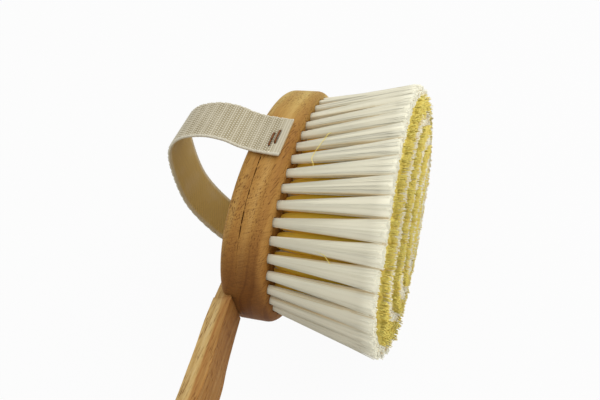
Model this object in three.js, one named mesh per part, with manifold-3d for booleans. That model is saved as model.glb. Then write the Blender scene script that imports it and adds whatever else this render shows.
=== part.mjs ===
// A bath brush: an oval wooden head with drawn tufts, a webbing hand strap, and a handle on a dovetail.
// Millimetres. The brush is built with x along the head, y across it, and z from its back to its bristles.
import * as THREE from 'three';
import { mergeVertices } from 'three/addons/utils/BufferGeometryUtils.js';
import Module from 'manifold-3d';

// Head
const HEAD_HALF_LENGTH = 65;
const HEAD_HALF_WIDTH = 40;
const HEAD_THICKNESS = 20;
const HEAD_OVAL_POWER = 2.18;
const HEAD_EDGE_ROUND = 4.5;
const COVER_THICKNESS = 8.35;
const GLUE_LINE = 0.3;
const GLUE_RIM = 5;

// Tufts
const OUTER_INSET_END = 6;
const OUTER_INSET_SIDE = 6.8;
const FLARE_END = 7.8;
const FLARE_SIDE = 13.4;
const TRIM_SHIFT = -1.8;
const RIM_TIP_LEVEL = 69.5;
const DOME_RISE = 6;
const OUTER_TIP_PITCH = 9.2;
const ROW_TIP_GAP = 2.6;
const MIDDLE_ROW_END_GAP = 18;
const RINGS = 4;
const TUFT_FOLD_RADIUS = 1.7;
const OUTER_TIP_RADIUS = 4.4;
const TIP_MERGE = 0.2;
const BORE_RADIUS = 2.6;
const FOLD_DEPTH = 1;

// Draw wire
const WIRE_RADIUS = 0.35;
const WIRE_SEAT_GAP = 0.25;
const WIRE_ROOM = 0.45;

// Dovetail and handle
const TONGUE_LENGTH = 60;
const TONGUE_FRONT_HALF_WIDTH = 7.3;
const TONGUE_HEIGHT = 7.8;
const TONGUE_PROUD = 2.2;
const DOVETAIL_DEG = 15;
const SLIDE_CLEARANCE = 0.3;
const HANDLE_REACH = 270;
const HANDLE_GRIP_HALF_WIDTH = 14;
const HANDLE_GRIP_THICKNESS = 11.5;
const HANDLE_GRIP_DROP = 0.3;
const HANDLE_END_ROUND = 13;
const HANG_HOLE_RADIUS = 4;
const HANG_HOLE_INSET = 17;

// Strap and its staples
const STRAP_WIDTH = 22;
const STRAP_THICKNESS = 1.6;
const STRAP_SHIFT = -1.4;
const STRAP_END_LEVEL = 17;
const STRAP_LOOP_RISE = 41;
const STRAP_SEAT_GAP = 0.3;
const STAPLE_CROWN = 8.6;
const STAPLE_WIDTH = 0.8;
const STAPLE_THICKNESS = 0.6;
const STAPLE_BITE = 5;
const STAPLE_CLEARANCE = 0.25;
const STAPLE_SPOTS = [
  { along: -5.4, level: 11.1 },
  { along: -3.4, level: 13.2 },
];

const OVAL_POINTS = 64;
const TUFT_SIDES = 10;
const BORE_SIDES = 8;
const STRAP_STEPS = 90;
const SHAFT_STEPS = 40;

// Finishes
const finish = (color, roughness, metalness = 0) => new THREE.MeshStandardMaterial({ color, roughness, metalness });
const BEECH = finish(0xb98a4e, 0.6);
const PALE_BEECH = finish(0xc9a468, 0.6);
const IVORY_FIBRE = finish(0xece7d6, 0.55);
const STRAW_FIBRE = finish(0xd9c268, 0.55);
const WEBBING = finish(0xcfc5ac, 0.9);
const COPPER = finish(0xa4683c, 0.35, 1);
const STEEL_WIRE = finish(0xb4b4b0, 0.35, 1);

// Solids
const wasm = await Module();
wasm.setup();

/** Turns a closed geometry into a solid that can be cut and joined. */
function solid(geometry) {
  const plain = geometry.clone();
  plain.deleteAttribute('normal');
  plain.deleteAttribute('uv');
  const merged = mergeVertices(plain, 1e-4);
  return new wasm.Manifold(new wasm.Mesh({
    numProp: 3,
    vertProperties: new Float32Array(merged.attributes.position.array),
    triVerts: new Uint32Array(merged.index.array),
  }));
}

/** Turns a solid back into a geometry. */
function geometryOf(body) {
  const mesh = body.getMesh();
  const geometry = new THREE.BufferGeometry();
  geometry.setAttribute('position', new THREE.BufferAttribute(new Float32Array(mesh.vertProperties), 3));
  geometry.setIndex(new THREE.BufferAttribute(new Uint32Array(mesh.triVerts), 1));
  geometry.computeVertexNormals();
  return geometry;
}

const joined = (bodies) => bodies.reduce((whole, body) => whole.add(body));
const cutBy = (body, tools) => tools.reduce((rest, tool) => rest.subtract(tool), body);

/** A box solid between two corners. */
function block(low, high) {
  const size = new THREE.Vector3().subVectors(high, low);
  const middle = new THREE.Vector3().addVectors(low, high).multiplyScalar(0.5);
  return solid(new THREE.BoxGeometry(size.x, size.y, size.z).translate(middle.x, middle.y, middle.z));
}

/** Stands an extrusion up along x from a place: its drawing's x and y become the brush's y and z. */
function acrossHead(geometry, from) {
  return geometry.applyMatrix4(new THREE.Matrix4().set(0, 0, 1, from, 1, 0, 0, 0, 0, 1, 0, 0, 0, 0, 0, 1));
}

// The oval that the head and its rows of tufts share
const signedPower = (value, power) => Math.sign(value) * Math.abs(value) ** power;

function ovalPoints(halfLength, halfWidth, count) {
  return Array.from({ length: count }, (_, i) => {
    const angle = -Math.PI + (2 * Math.PI * i) / count;
    return new THREE.Vector2(
      halfLength * signedPower(Math.cos(angle), 2 / HEAD_OVAL_POWER),
      halfWidth * signedPower(Math.sin(angle), 2 / HEAD_OVAL_POWER),
    );
  });
}

function ovalBlock(halfLength, halfWidth, low, high) {
  const shape = new THREE.Shape(ovalPoints(halfLength, halfWidth, OVAL_POINTS));
  const slab = new THREE.ExtrudeGeometry(shape, { depth: high - low, bevelEnabled: false });
  return solid(slab.translate(0, 0, low));
}

/** The whole head before it is parted into plate and cover, with its edges rounded. */
function headBlank() {
  const shape = new THREE.Shape(ovalPoints(HEAD_HALF_LENGTH, HEAD_HALF_WIDTH, OVAL_POINTS));
  const blank = new THREE.ExtrudeGeometry(shape, {
    depth: HEAD_THICKNESS - 2 * HEAD_EDGE_ROUND,
    bevelThickness: HEAD_EDGE_ROUND,
    bevelSize: HEAD_EDGE_ROUND,
    bevelOffset: -HEAD_EDGE_ROUND,
    bevelSegments: 4,
  });
  return solid(blank.translate(0, 0, HEAD_EDGE_ROUND));
}

const PLATE_BACK = COVER_THICKNESS + GLUE_LINE;
const BEYOND = 10;

/** A slab wider than the head between two levels. */
function headSlab(low, high) {
  return block(
    new THREE.Vector3(-HEAD_HALF_LENGTH - BEYOND, -HEAD_HALF_WIDTH - BEYOND, low),
    new THREE.Vector3(HEAD_HALF_LENGTH + BEYOND, HEAD_HALF_WIDTH + BEYOND, high),
  );
}

// Rows of tufts, from the outer ring to the straight row in the middle
const outerBase = { length: HEAD_HALF_LENGTH - OUTER_INSET_END, width: HEAD_HALF_WIDTH - OUTER_INSET_SIDE };
const outerTip = { length: outerBase.length + FLARE_END, width: outerBase.width + FLARE_SIDE };
const basePitch = outerBase.width / RINGS;
const innerTipPitch = outerTip.width / RINGS - ROW_TIP_GAP;

/** The ovals of one ring at the plate's front face and at its tips. The inner rings flare less. */
function ringOvals(ring) {
  const share = 1 - ring / RINGS;
  const base = { length: outerBase.length - ring * basePitch, width: outerBase.width * share };
  const tip = { length: base.length + FLARE_END * share, width: base.width + FLARE_SIDE * share };
  return { base, tip, share };
}

/** The tip radius at which tufts of this spacing grow into each other, flat side to flat side. */
const mergingRadius = (spacing) => (spacing / 2 + TIP_MERGE) / Math.cos(Math.PI / TUFT_SIDES);

/** The tufts of one ring: where each leaves the plate's front face, and where its tip lies. */
function ringTufts(ring) {
  const { base, tip, share } = ringOvals(ring);
  const level = RIM_TIP_LEVEL + DOME_RISE * (1 - share ** 2);
  const path = new THREE.Path(ovalPoints(tip.length, tip.width, 4 * OVAL_POINTS));
  path.closePath();
  const count = Math.round(path.getLength() / (ring === 0 ? OUTER_TIP_PITCH : innerTipPitch));
  const spacing = path.getLength() / count;
  const tufts = path.getSpacedPoints(count).slice(0, count).map((point) => ({
    foot: new THREE.Vector3(
      (point.x * base.length) / tip.length,
      (point.y * base.width) / tip.width,
      HEAD_THICKNESS,
    ),
    tip: new THREE.Vector3(point.x + TRIM_SHIFT * share, point.y, level),
  }));
  return { tufts, tipRadius: ring === 0 ? OUTER_TIP_RADIUS : mergingRadius(spacing) };
}

/** The straight row in the middle, with an odd count so that one tuft stands at the centre. */
function middleTufts() {
  const { base, tip } = ringOvals(RINGS - 1);
  const halfTip = tip.length - MIDDLE_ROW_END_GAP;
  const halfBase = (halfTip * base.length) / tip.length;
  const steps = 2 * Math.ceil(halfTip / innerTipPitch);
  const tufts = Array.from({ length: steps + 1 }, (_, i) => {
    const share = (2 * i) / steps - 1;
    return {
      foot: new THREE.Vector3(share * halfBase, 0, HEAD_THICKNESS),
      tip: new THREE.Vector3(share * halfTip, 0, RIM_TIP_LEVEL + DOME_RISE),
    };
  });
  return { tufts, tipRadius: mergingRadius((2 * halfTip) / steps) };
}

const rings = Array.from({ length: RINGS }, (_, ring) => ringTufts(ring));
const middleRow = middleTufts();
const rows = [...rings, middleRow];

/** The point on a tuft's axis at a level. */
function axisPoint({ foot, tip }, level) {
  return new THREE.Vector3().lerpVectors(foot, tip, (level - foot.z) / (tip.z - foot.z));
}

/** A round taper between two points. */
function taper(from, to, fromRadius, toRadius, sides) {
  const along = new THREE.Vector3().subVectors(to, from);
  const geometry = new THREE.CylinderGeometry(toRadius, fromRadius, along.length(), sides);
  const turn = new THREE.Quaternion().setFromUnitVectors(new THREE.Vector3(0, 1, 0), along.clone().normalize());
  const middle = new THREE.Vector3().addVectors(from, to).multiplyScalar(0.5);
  return geometry.applyQuaternion(turn).translate(middle.x, middle.y, middle.z);
}

const tuftGeometry = (tuft, tipRadius) => taper(
  axisPoint(tuft, PLATE_BACK + FOLD_DEPTH), tuft.tip, TUFT_FOLD_RADIUS, tipRadius, TUFT_SIDES,
);

const tuftBore = (tuft) => solid(taper(
  axisPoint(tuft, PLATE_BACK - BEYOND), axisPoint(tuft, HEAD_THICKNESS + BEYOND), BORE_RADIUS, BORE_RADIUS, BORE_SIDES,
));

const tuftRow = ({ tufts, tipRadius }) => geometryOf(joined(tufts.map((tuft) => solid(tuftGeometry(tuft, tipRadius)))));

/** The outline of a band of even width along a line of points. */
function bandShape(points, halfWidth) {
  const edge = (side) => points.map((point, i) => {
    const before = points[Math.max(i - 1, 0)];
    const after = points[Math.min(i + 1, points.length - 1)];
    const along = new THREE.Vector2().subVectors(after, before).normalize();
    return new THREE.Vector2(-along.y, along.x).multiplyScalar(side * halfWidth).add(point);
  });
  return new THREE.Shape([...edge(1), ...edge(-1).reverse()]);
}

/** The draw wire: one length, straight from hole to hole across the plate's back, row after row. */
function drawWire() {
  const hole = (tuft) => new THREE.Vector2().copy(axisPoint(tuft, PLATE_BACK));
  const rowStart = hole(middleRow.tufts[0]);
  const turnIn = new THREE.Vector2().addVectors(hole(rings.at(-1).tufts[0]), rowStart).multiplyScalar(0.5);
  const rounds = rings.flatMap(({ tufts }) => tufts.map(hole));
  const band = bandShape([...rounds, turnIn, rowStart, hole(middleRow.tufts.at(-1))], WIRE_RADIUS);
  const wire = new THREE.ExtrudeGeometry(band, { depth: 2 * WIRE_RADIUS, bevelEnabled: false });
  return wire.translate(0, 0, PLATE_BACK - WIRE_SEAT_GAP - 2 * WIRE_RADIUS);
}

// Strap: flat on both side walls, and looped over the back between them
const strapSeat = HEAD_HALF_WIDTH + STRAP_SEAT_GAP + STRAP_THICKNESS / 2;
const strapLow = STRAP_SHIFT - STRAP_WIDTH / 2;

// Each point is a share of the seat's distance from the middle and of the loop's rise behind the back.
const LOOP_POINTS = [
  [1.03, 0.05], [1.105, 0.22], [1.135, 0.46], [1.075, 0.75], [0.86, 0.945], [0.45, 1.0],
  [-0.02, 0.94], [-0.44, 0.72], [-0.79, 0.38], [-0.97, 0.08],
];

function strapCentreLine() {
  const onWall = (side, level) => new THREE.Vector2(side * strapSeat, level);
  const loop = LOOP_POINTS.map(([across, rise]) => new THREE.Vector2(across * strapSeat, -rise * STRAP_LOOP_RISE));
  return new THREE.SplineCurve([
    onWall(1, STRAP_END_LEVEL), onWall(1, COVER_THICKNESS), onWall(1, HEAD_EDGE_ROUND), ...loop,
    onWall(-1, HEAD_EDGE_ROUND), onWall(-1, COVER_THICKNESS), onWall(-1, STRAP_END_LEVEL),
  ]);
}

function strapBlank() {
  const ribbon = bandShape(strapCentreLine().getSpacedPoints(STRAP_STEPS), STRAP_THICKNESS / 2);
  return solid(acrossHead(new THREE.ExtrudeGeometry(ribbon, { depth: STRAP_WIDTH, bevelEnabled: false }), strapLow));
}

// Staples: a crown on the strap's face, and two legs through the strap into the plate's side wall
const staples = ['near', 'far'].flatMap((side) => STAPLE_SPOTS.map((spot, i) => ({
  name: `${side}_staple_${i + 1}`,
  side: side === 'near' ? 1 : -1,
  ...spot,
})));

const stapleTop = strapSeat + STRAP_THICKNESS / 2 + STAPLE_CLEARANCE + STAPLE_THICKNESS;
const stapleTip = HEAD_HALF_WIDTH - STAPLE_BITE;

function stapleGeometry({ side, along, level }) {
  const half = STAPLE_CROWN / 2;
  const inner = half - STAPLE_THICKNESS;
  const under = stapleTop - STAPLE_THICKNESS;
  const outline = [
    [-half, stapleTip], [-inner, stapleTip], [-inner, under], [inner, under],
    [inner, stapleTip], [half, stapleTip], [half, stapleTop], [-half, stapleTop],
  ].map(([x, y]) => new THREE.Vector2(x, y));
  const geometry = new THREE.ExtrudeGeometry(new THREE.Shape(outline), { depth: STAPLE_WIDTH, bevelEnabled: false });
  geometry.translate(0, 0, -STAPLE_WIDTH / 2);
  if (side < 0) geometry.rotateZ(Math.PI);
  return geometry.translate(along, 0, level);
}

/** The two holes that a staple's legs make in the strap and the plate. */
function stapleHoles({ side, along, level }) {
  return [-1, 1].map((end) => {
    const middle = along + (end * (STAPLE_CROWN - STAPLE_THICKNESS)) / 2;
    const halfAlong = STAPLE_THICKNESS / 2 + STAPLE_CLEARANCE;
    const halfLevel = STAPLE_WIDTH / 2 + STAPLE_CLEARANCE;
    const depths = [side * (stapleTip - STAPLE_CLEARANCE), side * (stapleTop + BEYOND)].sort((a, b) => a - b);
    return block(
      new THREE.Vector3(middle - halfAlong, depths[0], level - halfLevel),
      new THREE.Vector3(middle + halfAlong, depths[1], level + halfLevel),
    );
  });
}

const allStapleHoles = staples.flatMap(stapleHoles);

// Handle: a dovetail tongue, a neck of the same section and a wider rounded grip
const dovetailLean = Math.tan((DOVETAIL_DEG * Math.PI) / 180);
const tongueFront = TONGUE_HEIGHT - TONGUE_PROUD;
const tongueBackHalfWidth = TONGUE_FRONT_HALF_WIDTH - TONGUE_HEIGHT * dovetailLean;
const neckStart = -HEAD_HALF_LENGTH - 2 * SLIDE_CLEARANCE;
const tongueEnd = neckStart + TONGUE_LENGTH;

/** A dovetail bar between two places on x, grown on every side by an allowance. */
function dovetailBar(from, to, allowance, back) {
  const front = tongueFront + allowance;
  const sideStep = allowance / Math.cos((DOVETAIL_DEG * Math.PI) / 180);
  const halfAt = (level) => TONGUE_FRONT_HALF_WIDTH + sideStep - (tongueFront - level) * dovetailLean;
  const section = new THREE.Shape([
    new THREE.Vector2(-halfAt(front), front), new THREE.Vector2(-halfAt(back), back),
    new THREE.Vector2(halfAt(back), back), new THREE.Vector2(halfAt(front), front),
  ]);
  return solid(acrossHead(new THREE.ExtrudeGeometry(section, { depth: to - from, bevelEnabled: false }), from));
}

// Sections of the handle by their distance from the neck's start: half widths at the front and the back,
// levels of the front and the back, and how round the corners are.
const gripBack = -HANDLE_GRIP_DROP;
const gripFront = gripBack + HANDLE_GRIP_THICKNESS;
const SECTIONS = [
  [0, TONGUE_FRONT_HALF_WIDTH, tongueBackHalfWidth, tongueFront, -TONGUE_PROUD, 0],
  [14, TONGUE_FRONT_HALF_WIDTH + 0.6, tongueBackHalfWidth + 0.8, tongueFront + 2.4, -TONGUE_PROUD + 0.2, 0.03],
  [32, TONGUE_FRONT_HALF_WIDTH + 2.2, tongueBackHalfWidth + 2.6, gripFront - 1.3, gripBack + 0.6, 0.15],
  [46, TONGUE_FRONT_HALF_WIDTH + 3.6, tongueBackHalfWidth + 4.2, gripFront - 0.8, gripBack + 1.5, 0.35],
  [80, HANDLE_GRIP_HALF_WIDTH - 0.8, HANDLE_GRIP_HALF_WIDTH - 1.2, gripFront - 0.3, gripBack + 0.9, 0.5],
  [150, HANDLE_GRIP_HALF_WIDTH, HANDLE_GRIP_HALF_WIDTH, gripFront, gripBack, 0.5],
  [HANDLE_REACH, HANDLE_GRIP_HALF_WIDTH - 1, HANDLE_GRIP_HALF_WIDTH - 1, gripFront - 0.5, gripBack + 0.5, 0.5],
];

function handleShaft() {
  const spread = SECTIONS[0].length - 1;
  const between = new THREE.CubicInterpolant(
    SECTIONS.map(([at]) => at), SECTIONS.flatMap((section) => section.slice(1)), spread, new Float32Array(spread),
  );
  const geometry = new THREE.BoxGeometry(HANDLE_REACH, 2, 2, SHAFT_STEPS, 4, 4);
  const places = geometry.attributes.position;
  for (let i = 0; i < places.count; i += 1) {
    const distance = HANDLE_REACH / 2 - places.getX(i);
    const [u, v] = [places.getY(i), places.getZ(i)];
    const [frontHalf, backHalf, front, back, roundness] = between.evaluate(distance);
    const intoEnd = Math.max(0, (distance - HANDLE_REACH + HANDLE_END_ROUND) / HANDLE_END_ROUND);
    const endShare = Math.sqrt(1 - 0.9 * intoEnd ** 2);
    const half = THREE.MathUtils.lerp(backHalf, frontHalf, (v + 1) / 2) * endShare;
    const across = u * Math.sqrt(1 - (roundness * v * v) / 2) * half;
    const up = v * Math.sqrt(1 - (roundness * u * u) / 2);
    places.setXYZ(i, neckStart - distance, across, THREE.MathUtils.lerp(back, front, (up + 1) / 2));
  }
  return solid(geometry);
}

function handleGeometry() {
  const tongue = dovetailBar(neckStart - SLIDE_CLEARANCE, tongueEnd, 0, -TONGUE_PROUD);
  const hole = new THREE.CylinderGeometry(HANG_HOLE_RADIUS, HANG_HOLE_RADIUS, 6 * HANDLE_GRIP_THICKNESS, 20);
  hole.rotateX(Math.PI / 2).translate(neckStart - HANDLE_REACH + HANG_HOLE_INSET, 0, 0);
  return geometryOf(handleShaft().add(tongue).subtract(solid(hole)));
}

function plateGeometry() {
  const bores = rows.flatMap(({ tufts }) => tufts.map(tuftBore));
  const blank = headBlank().subtract(headSlab(-BEYOND, PLATE_BACK));
  return geometryOf(cutBy(blank, [...bores, ...allStapleHoles]));
}

function coverGeometry() {
  const wireLevel = PLATE_BACK - WIRE_SEAT_GAP - 2 * WIRE_RADIUS - WIRE_ROOM;
  const wireRoom = ovalBlock(
    HEAD_HALF_LENGTH - GLUE_RIM, HEAD_HALF_WIDTH - GLUE_RIM, wireLevel, COVER_THICKNESS + BEYOND,
  );
  const slot = dovetailBar(
    -HEAD_HALF_LENGTH - BEYOND, tongueEnd + SLIDE_CLEARANCE, SLIDE_CLEARANCE, -TONGUE_PROUD - BEYOND / 2,
  );
  const blank = headBlank().subtract(headSlab(COVER_THICKNESS, HEAD_THICKNESS + BEYOND));
  return geometryOf(cutBy(blank, [wireRoom, slot]));
}

// Assembly
const brush = new THREE.Group();

function addPiece(name, geometry, material) {
  const mesh = new THREE.Mesh(geometry, material);
  mesh.name = name;
  brush.add(mesh);
}

addPiece('bristle_plate', plateGeometry(), BEECH);
addPiece('back_cover', coverGeometry(), BEECH);
addPiece('handle', handleGeometry(), PALE_BEECH);
addPiece('hand_strap', geometryOf(cutBy(strapBlank(), allStapleHoles)), WEBBING);
addPiece('draw_wire', drawWire(), STEEL_WIRE);
staples.forEach((staple) => addPiece(staple.name, stapleGeometry(staple), COPPER));
rings[0].tufts.forEach((tuft, i) => {
  const number = String(i + 1).padStart(2, '0');
  addPiece(`outer_tuft_${number}`, tuftGeometry(tuft, rings[0].tipRadius), IVORY_FIBRE);
});
rings.slice(1).forEach((row, i) => addPiece(`tuft_ring_${i + 2}`, tuftRow(row), i === 1 ? IVORY_FIBRE : STRAW_FIBRE));
addPiece('tuft_middle_row', tuftRow(middleRow), IVORY_FIBRE);

// The brush lies on its long side with its bristles facing -Y, and the middle tuft's tip is the origin.
brush.rotation.x = Math.PI / 2;
brush.position.y = RIM_TIP_LEVEL + DOME_RISE;

const part = new THREE.Group();
part.add(brush);

export default part;
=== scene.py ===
"""A bath brush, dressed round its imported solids: beech head and handle, drawn fibre tufts, webbing strap.

Brush points are (along, across, level) in millimetres: along the head and away from the handle, across the
head, and from the head's back towards the bristle tips. placed() takes them to the row frame in metres.
"""
import logging
import math
from dataclasses import dataclass, field, replace
from enum import Enum
from typing import Any, ClassVar, Iterable, Mapping, Optional, Sequence, Union

import bpy
import numpy as np
from mathutils import Matrix, Vector


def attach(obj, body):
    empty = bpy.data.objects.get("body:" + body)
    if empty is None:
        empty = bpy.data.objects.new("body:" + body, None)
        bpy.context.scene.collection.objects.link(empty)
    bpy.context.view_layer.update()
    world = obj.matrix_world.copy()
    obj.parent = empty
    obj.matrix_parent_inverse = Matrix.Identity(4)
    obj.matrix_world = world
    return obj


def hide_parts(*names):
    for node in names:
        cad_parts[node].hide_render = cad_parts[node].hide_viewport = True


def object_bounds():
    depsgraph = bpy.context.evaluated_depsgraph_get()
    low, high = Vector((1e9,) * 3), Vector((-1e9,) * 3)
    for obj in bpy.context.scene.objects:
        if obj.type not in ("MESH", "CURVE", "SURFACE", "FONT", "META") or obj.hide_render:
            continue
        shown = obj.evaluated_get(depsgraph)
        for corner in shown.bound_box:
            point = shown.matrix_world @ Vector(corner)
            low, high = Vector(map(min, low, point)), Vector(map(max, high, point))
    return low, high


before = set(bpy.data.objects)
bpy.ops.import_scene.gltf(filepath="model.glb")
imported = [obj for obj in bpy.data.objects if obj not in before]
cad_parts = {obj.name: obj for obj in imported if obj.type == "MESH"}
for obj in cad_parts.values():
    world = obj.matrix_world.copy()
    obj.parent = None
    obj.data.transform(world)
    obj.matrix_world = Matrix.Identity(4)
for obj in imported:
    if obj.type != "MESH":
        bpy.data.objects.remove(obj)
CAD_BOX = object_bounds()

LOG = logging.getLogger("bath_brush")
MM = 0.001
TRIM_LEVEL = 75.5
SMOOTH_UNDER = 40.0
BAKE_MAP = "OFBake"
# Each staple's middle along the head, and its level
STAPLE_PLACES = ((-5.4, 11.1), (-3.4, 13.2))

Colour = tuple[float, float, float]
NO_TINT: Colour = (1.0, 1.0, 1.0)
Triple = tuple[float, float, float]
Span = tuple[float, float]
Amount = Union[float, np.ndarray]
Skin = tuple[np.ndarray, list[list[int]]]
Feed = Union["Signal", float, int, bool, str, Sequence[float], bpy.types.ID]


class Body(Enum):
    """The two bodies that pieces ride on."""

    HEAD = "head"
    HANDLE = "handle"


class Slot(Enum):
    """The record's material slots."""

    HEAD_BEECH = "head_beech"
    HANDLE_BEECH = "handle_beech"
    WEBBING = "webbing"
    COPPER = "copper_staple"
    IVORY = "ivory_fibre"
    STRAW = "straw_fibre"


def paint(red: int, green: int, blue: int) -> Colour:
    """A colour as it looks on screen, 0 to 255, turned into linear light.

    Args:
        red: Red on screen.
        green: Green on screen.
        blue: Blue on screen.

    Returns:
        The linear colour.
    """
    def linear(value: float) -> float:
        """One channel in linear light."""
        return value / 12.92 if value <= 0.04045 else ((value + 0.055) / 1.055) ** 2.4

    return linear(red / 255), linear(green / 255), linear(blue / 255)


def placed(points: np.ndarray) -> np.ndarray:
    """Takes brush points in millimetres to the row frame in metres.

    Args:
        points: Points whose last axis is (along, across, level).

    Returns:
        The points in the row frame.
    """
    along, across, level = np.moveaxis(np.asarray(points, float), -1, 0)
    return np.stack([along, TRIM_LEVEL - level, across], axis=-1) * MM


def smooth_step(low: float, high: float, value: np.ndarray) -> np.ndarray:
    """Rises smoothly from 0 at low to 1 at high."""
    share = np.clip((np.asarray(value, float) - low) / (high - low), 0, 1)
    return share * share * (3 - 2 * share)


def smooth_line(knots: np.ndarray, count: int) -> np.ndarray:
    """Points on a smooth curve through knots.

    Args:
        knots: The points that it goes through.
        count: How many points to give.

    Returns:
        The points.
    """
    last = len(knots) - 1
    at = np.linspace(0, last, count)
    i = np.minimum(at.astype(int), last - 1)
    w = (at - i)[:, None]
    before, here, then, after = (knots[np.clip(i + k, 0, last)] for k in (-1, 0, 1, 2))
    v0, v1 = (then - before) / 2, (after - here) / 2
    cubed = 2 * here - 2 * then + v0 + v1
    squared = -3 * here + 3 * then - 2 * v0 - v1
    return cubed * w ** 3 + squared * w ** 2 + v0 * w + here


@dataclass(frozen=True)
class Grain:
    """A noise drawn out along the brush's directions, in repeats for each millimetre."""

    along: float
    across: float
    level: float
    detail: float = 2.0
    rough: float = 0.5


class Signal:
    """A node's output that Python expressions can work with."""

    def __init__(self, sheet: "NodeSheet", socket: bpy.types.NodeSocket, vector: bool = False) -> None:
        """Wraps a socket.

        Args:
            sheet: The sheet that the socket's node stands on.
            socket: The output socket.
            vector: True if sums with it go through Vector Math.
        """
        self.sheet = sheet
        self.socket = socket
        self.vector = vector

    def _pair(self, operation: str, first: Feed, second: Feed) -> "Signal":
        """Adds the node for one operation on two feeds.

        Args:
            operation: The operation of the Math or Vector Math node.
            first: The left side.
            second: The right side.

        Returns:
            The result.
        """
        vector = any(isinstance(x, (tuple, Vector)) or getattr(x, "vector", False) for x in (first, second))
        kind = "ShaderNodeVectorMath" if vector else "ShaderNodeMath"
        return self.sheet.signal(kind, 0, {"operation": operation}, {0: first, 1: second}, vector)

    def __add__(self, other: Feed) -> "Signal":
        """The sum."""
        return self._pair("ADD", self, other)

    def __radd__(self, other: Feed) -> "Signal":
        """The sum, from the right."""
        return self._pair("ADD", other, self)

    def __sub__(self, other: Feed) -> "Signal":
        """The difference."""
        return self._pair("SUBTRACT", self, other)

    def __rsub__(self, other: Feed) -> "Signal":
        """The difference, from the right."""
        return self._pair("SUBTRACT", other, self)

    def __mul__(self, other: Feed) -> "Signal":
        """The product."""
        return self._pair("MULTIPLY", self, other)

    def __rmul__(self, other: Feed) -> "Signal":
        """The product, from the right."""
        return self._pair("MULTIPLY", other, self)

    def __truediv__(self, other: Feed) -> "Signal":
        """The quotient."""
        return self._pair("DIVIDE", self, other)

    def __rtruediv__(self, other: Feed) -> "Signal":
        """The quotient, from the right."""
        return self._pair("DIVIDE", other, self)

    def __pow__(self, other: Feed) -> "Signal":
        """The power."""
        return self._pair("POWER", self, other)

    def __rpow__(self, other: Feed) -> "Signal":
        """The power, from the right."""
        return self._pair("POWER", other, self)

    def larger(self, other: Feed) -> "Signal":
        """The larger of two values."""
        return self._pair("MAXIMUM", self, other)

    def unit(self) -> "Signal":
        """The vector at length one."""
        return self.sheet.signal("ShaderNodeVectorMath", 0, {"operation": "NORMALIZE"}, {0: self}, True)

    def cross(self, other: Feed) -> "Signal":
        """The cross product."""
        return self._pair("CROSS_PRODUCT", self, other)

    def function(self, operation: str) -> "Signal":
        """A Math operation on this value alone, such as SINE."""
        return self.sheet.signal("ShaderNodeMath", 0, {"operation": operation}, {0: self})

    def rise(self, low: float, high: float) -> "Signal":
        """Rises smoothly from 0 at low to 1 at high."""
        feeds = {0: self, 1: low, 2: high, 3: 0.0, 4: 1.0}
        return self.sheet.signal("ShaderNodeMapRange", 0, {"interpolation_type": "SMOOTHSTEP"}, feeds)

    def parts(self) -> tuple["Signal", "Signal", "Signal"]:
        """The three parts of a vector."""
        node = self.sheet.add("ShaderNodeSeparateXYZ", feeds={0: self})
        return tuple(Signal(self.sheet, node.outputs[i]) for i in range(3))


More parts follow.
